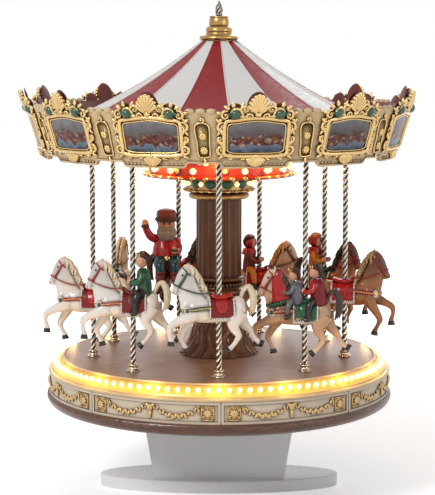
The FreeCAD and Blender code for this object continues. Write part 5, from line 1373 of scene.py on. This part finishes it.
def make_horses():
    body, mane, tail, hoof, tack = horse_form(), mane_form(), tail_form(), hooves(), tack_form()
    blanket, lace, saddle, medal = blanket_form(), lace_form(), saddle_form(), breast_medal()
    stone = pair((24.7, 7.1, 1.6), (1.4, 0.9, 1.6), 10, 7)
    eyes, nostrils = pair((27.3, 3.15, 27.2), (0.9, 0.5, 0.9)), pair((33.8, 1.95, 14.7), (0.5, 0.4, 0.7))
    beads, cape = tack_beads(), neck_cape()
    for index in range(POLE_COUNT):
        name = str(index + 1)
        node, pole = "horse_" + name, "pole_" + name
        foot = pole_foot(pole)
        seat = Matrix.Translation((foot.x, foot.y, low(pole).z + POLE_TO_HORSE))
        seat = seat @ Matrix.Rotation(math.radians(HORSE_FACING[index]), 4, "Z")
        coat, mane_name, tail_name, saddle_paint, cloth, straps, gem = DRESS[index]
        parts = [
            (body, COATS[coat]), (mane, MANES[mane_name]), (tail, MANES[tail_name]), (hoof, BLACK),
            (tack, straps), (blanket, cloth), (lace, WHITE_LACE), (saddle, saddle_paint),
            (medal, WHITE_LACE), (stone, gem), (eyes, BLACK), (nostrils, BLACK), (beads, GOLD),
        ]
        if index == CAPED_HORSE:
            parts += cape
        make_horse(name, node, parts, seat)
        for number, (place, figure) in enumerate(rider_parts(index)):
            at = seat @ Matrix.Translation((place, 0, SEAT_HEIGHT))
            moved = [(placed(shape, at), material) for shape, material in figure]
            piece("rider_%s_%d" % (name, number + 1), moved, node, slot=SLOTS[node])
        make_pole(name, node, pole)


# Stage


def calculated(nodes, links, operation, first, second):
    node = nodes.new("ShaderNodeMath")
    node.operation = operation
    links.new(first, node.inputs[0])
    links.new(second, node.inputs[1])
    return node.outputs["Value"]


def shown_rays(nodes, links):
    """1 for what the camera sees, also in gloss and through glass, and 0 for the light on the object."""
    path = nodes.new("ShaderNodeLightPath")
    mirrored_rays = calculated(
        nodes, links, "MAXIMUM", path.outputs["Is Glossy Ray"], path.outputs["Is Transmission Ray"],
    )
    return calculated(nodes, links, "MAXIMUM", path.outputs["Is Camera Ray"], mirrored_rays)


def make_stage():
    material, nodes, links, shader = graph_of("floor")
    shader.inputs["Base Color"].default_value = (0.92, 0.92, 0.92, 1.0)
    shader.inputs["Emission Color"].default_value = (1.0, 1.0, 1.0, 1.0)
    place = nodes.new("ShaderNodeTexCoord")
    reach = nodes.new("ShaderNodeVectorMath")
    reach.operation = "LENGTH"
    links.new(place.outputs["Object"], reach.inputs[0])
    # Painted shade: the floor's glow is weakest near the middle, so the floor round the object is darker,
    # and it rises towards white far out.
    glow = spread(nodes, links, reach.outputs["Value"], 0.2, 1.4, 0.42, 0.80)
    strength = calculated(nodes, links, "MULTIPLY", glow, shown_rays(nodes, links))
    links.new(strength, shader.inputs["Emission Strength"])
    shader.inputs["Roughness"].default_value = 0.9
    half = 6.0
    mesh = bpy.data.meshes.new("floor")
    corners = [(-half, -half, 0), (half, -half, 0), (half, half, 0), (-half, half, 0)]
    mesh.from_pydata(corners, [], [(0, 1, 2, 3)])
    mesh.materials.append(material)
    floor = new_object("floor", mesh)
    floor.location.z = -0.0002


def area_light(name, place, size, power, target=(0, 0, 0.2)):
    data = bpy.data.lights.new(name, "AREA")
    data.size = size
    data.energy = power
    result = new_object(name, data)
    result.location = place
    result.rotation_euler = (Vector(target) - Vector(place)).to_track_quat("-Z", "Y").to_euler()


def warm_light(name, place, power):
    data = bpy.data.lights.new(name, "POINT")
    data.color = (1.0, 0.55, 0.20)
    data.energy = power
    data.shadow_soft_size = 4.0 * MM
    new_object(name, data).location = place * MM


def make_light():
    world = bpy.data.worlds.new("studio")
    world.use_nodes = True
    nodes, links = world.node_tree.nodes, world.node_tree.links
    background = nodes["Background"]
    shown = shown_rays(nodes, links)
    links.new(spread(nodes, links, shown, 0.0, 1.0, 0.30, 1.0), background.inputs["Strength"])
    background.inputs["Color"].default_value = (1.0, 1.0, 1.0, 1.0)
    bpy.context.scene.world = world
    area_light("key", (-1.0, -1.3, 1.2), 0.55, 20.0)
    area_light("fill", (1.4, -0.8, 0.5), 0.8, 4.5)
    area_light("back", (0.3, 1.5, 1.1), 1.0, 8.0)
    for index in range(16):
        warm_light("rim_glow_%d" % index, spot(WALL_RADIUS - 3.0, 22.5 * index, DECK_TOP + 3.0), 0.014)
    for index in range(8):
        warm_light("crown_glow_%d" % index, spot(64.0, 45.0 * index, CEILING_BOTTOM - 9.0), 0.045)


def make_camera():
    data = bpy.data.cameras.new("camera")
    data.lens = 120.4
    data.sensor_width = 36.0
    data.shift_x = -1.5 / 495
    camera = new_object("camera", data)
    camera.location = (0.0, -1.300, 0.3511)
    camera.rotation_euler = (math.radians(90.0 - 7.0), 0.0, 0.0)
    bpy.context.scene.camera = camera


def main():
    bpy.context.scene.view_settings.view_transform = "Standard"
    finish_cad_nodes()
    make_rim_lights()
    make_crown_lights()
    make_crown()
    make_swag_lining()
    make_garlands()
    make_column_base()
    make_capital_trim()
    make_finial()
    make_ferrules()
    make_horses()
    make_stage()
    make_light()
    make_camera()


main()
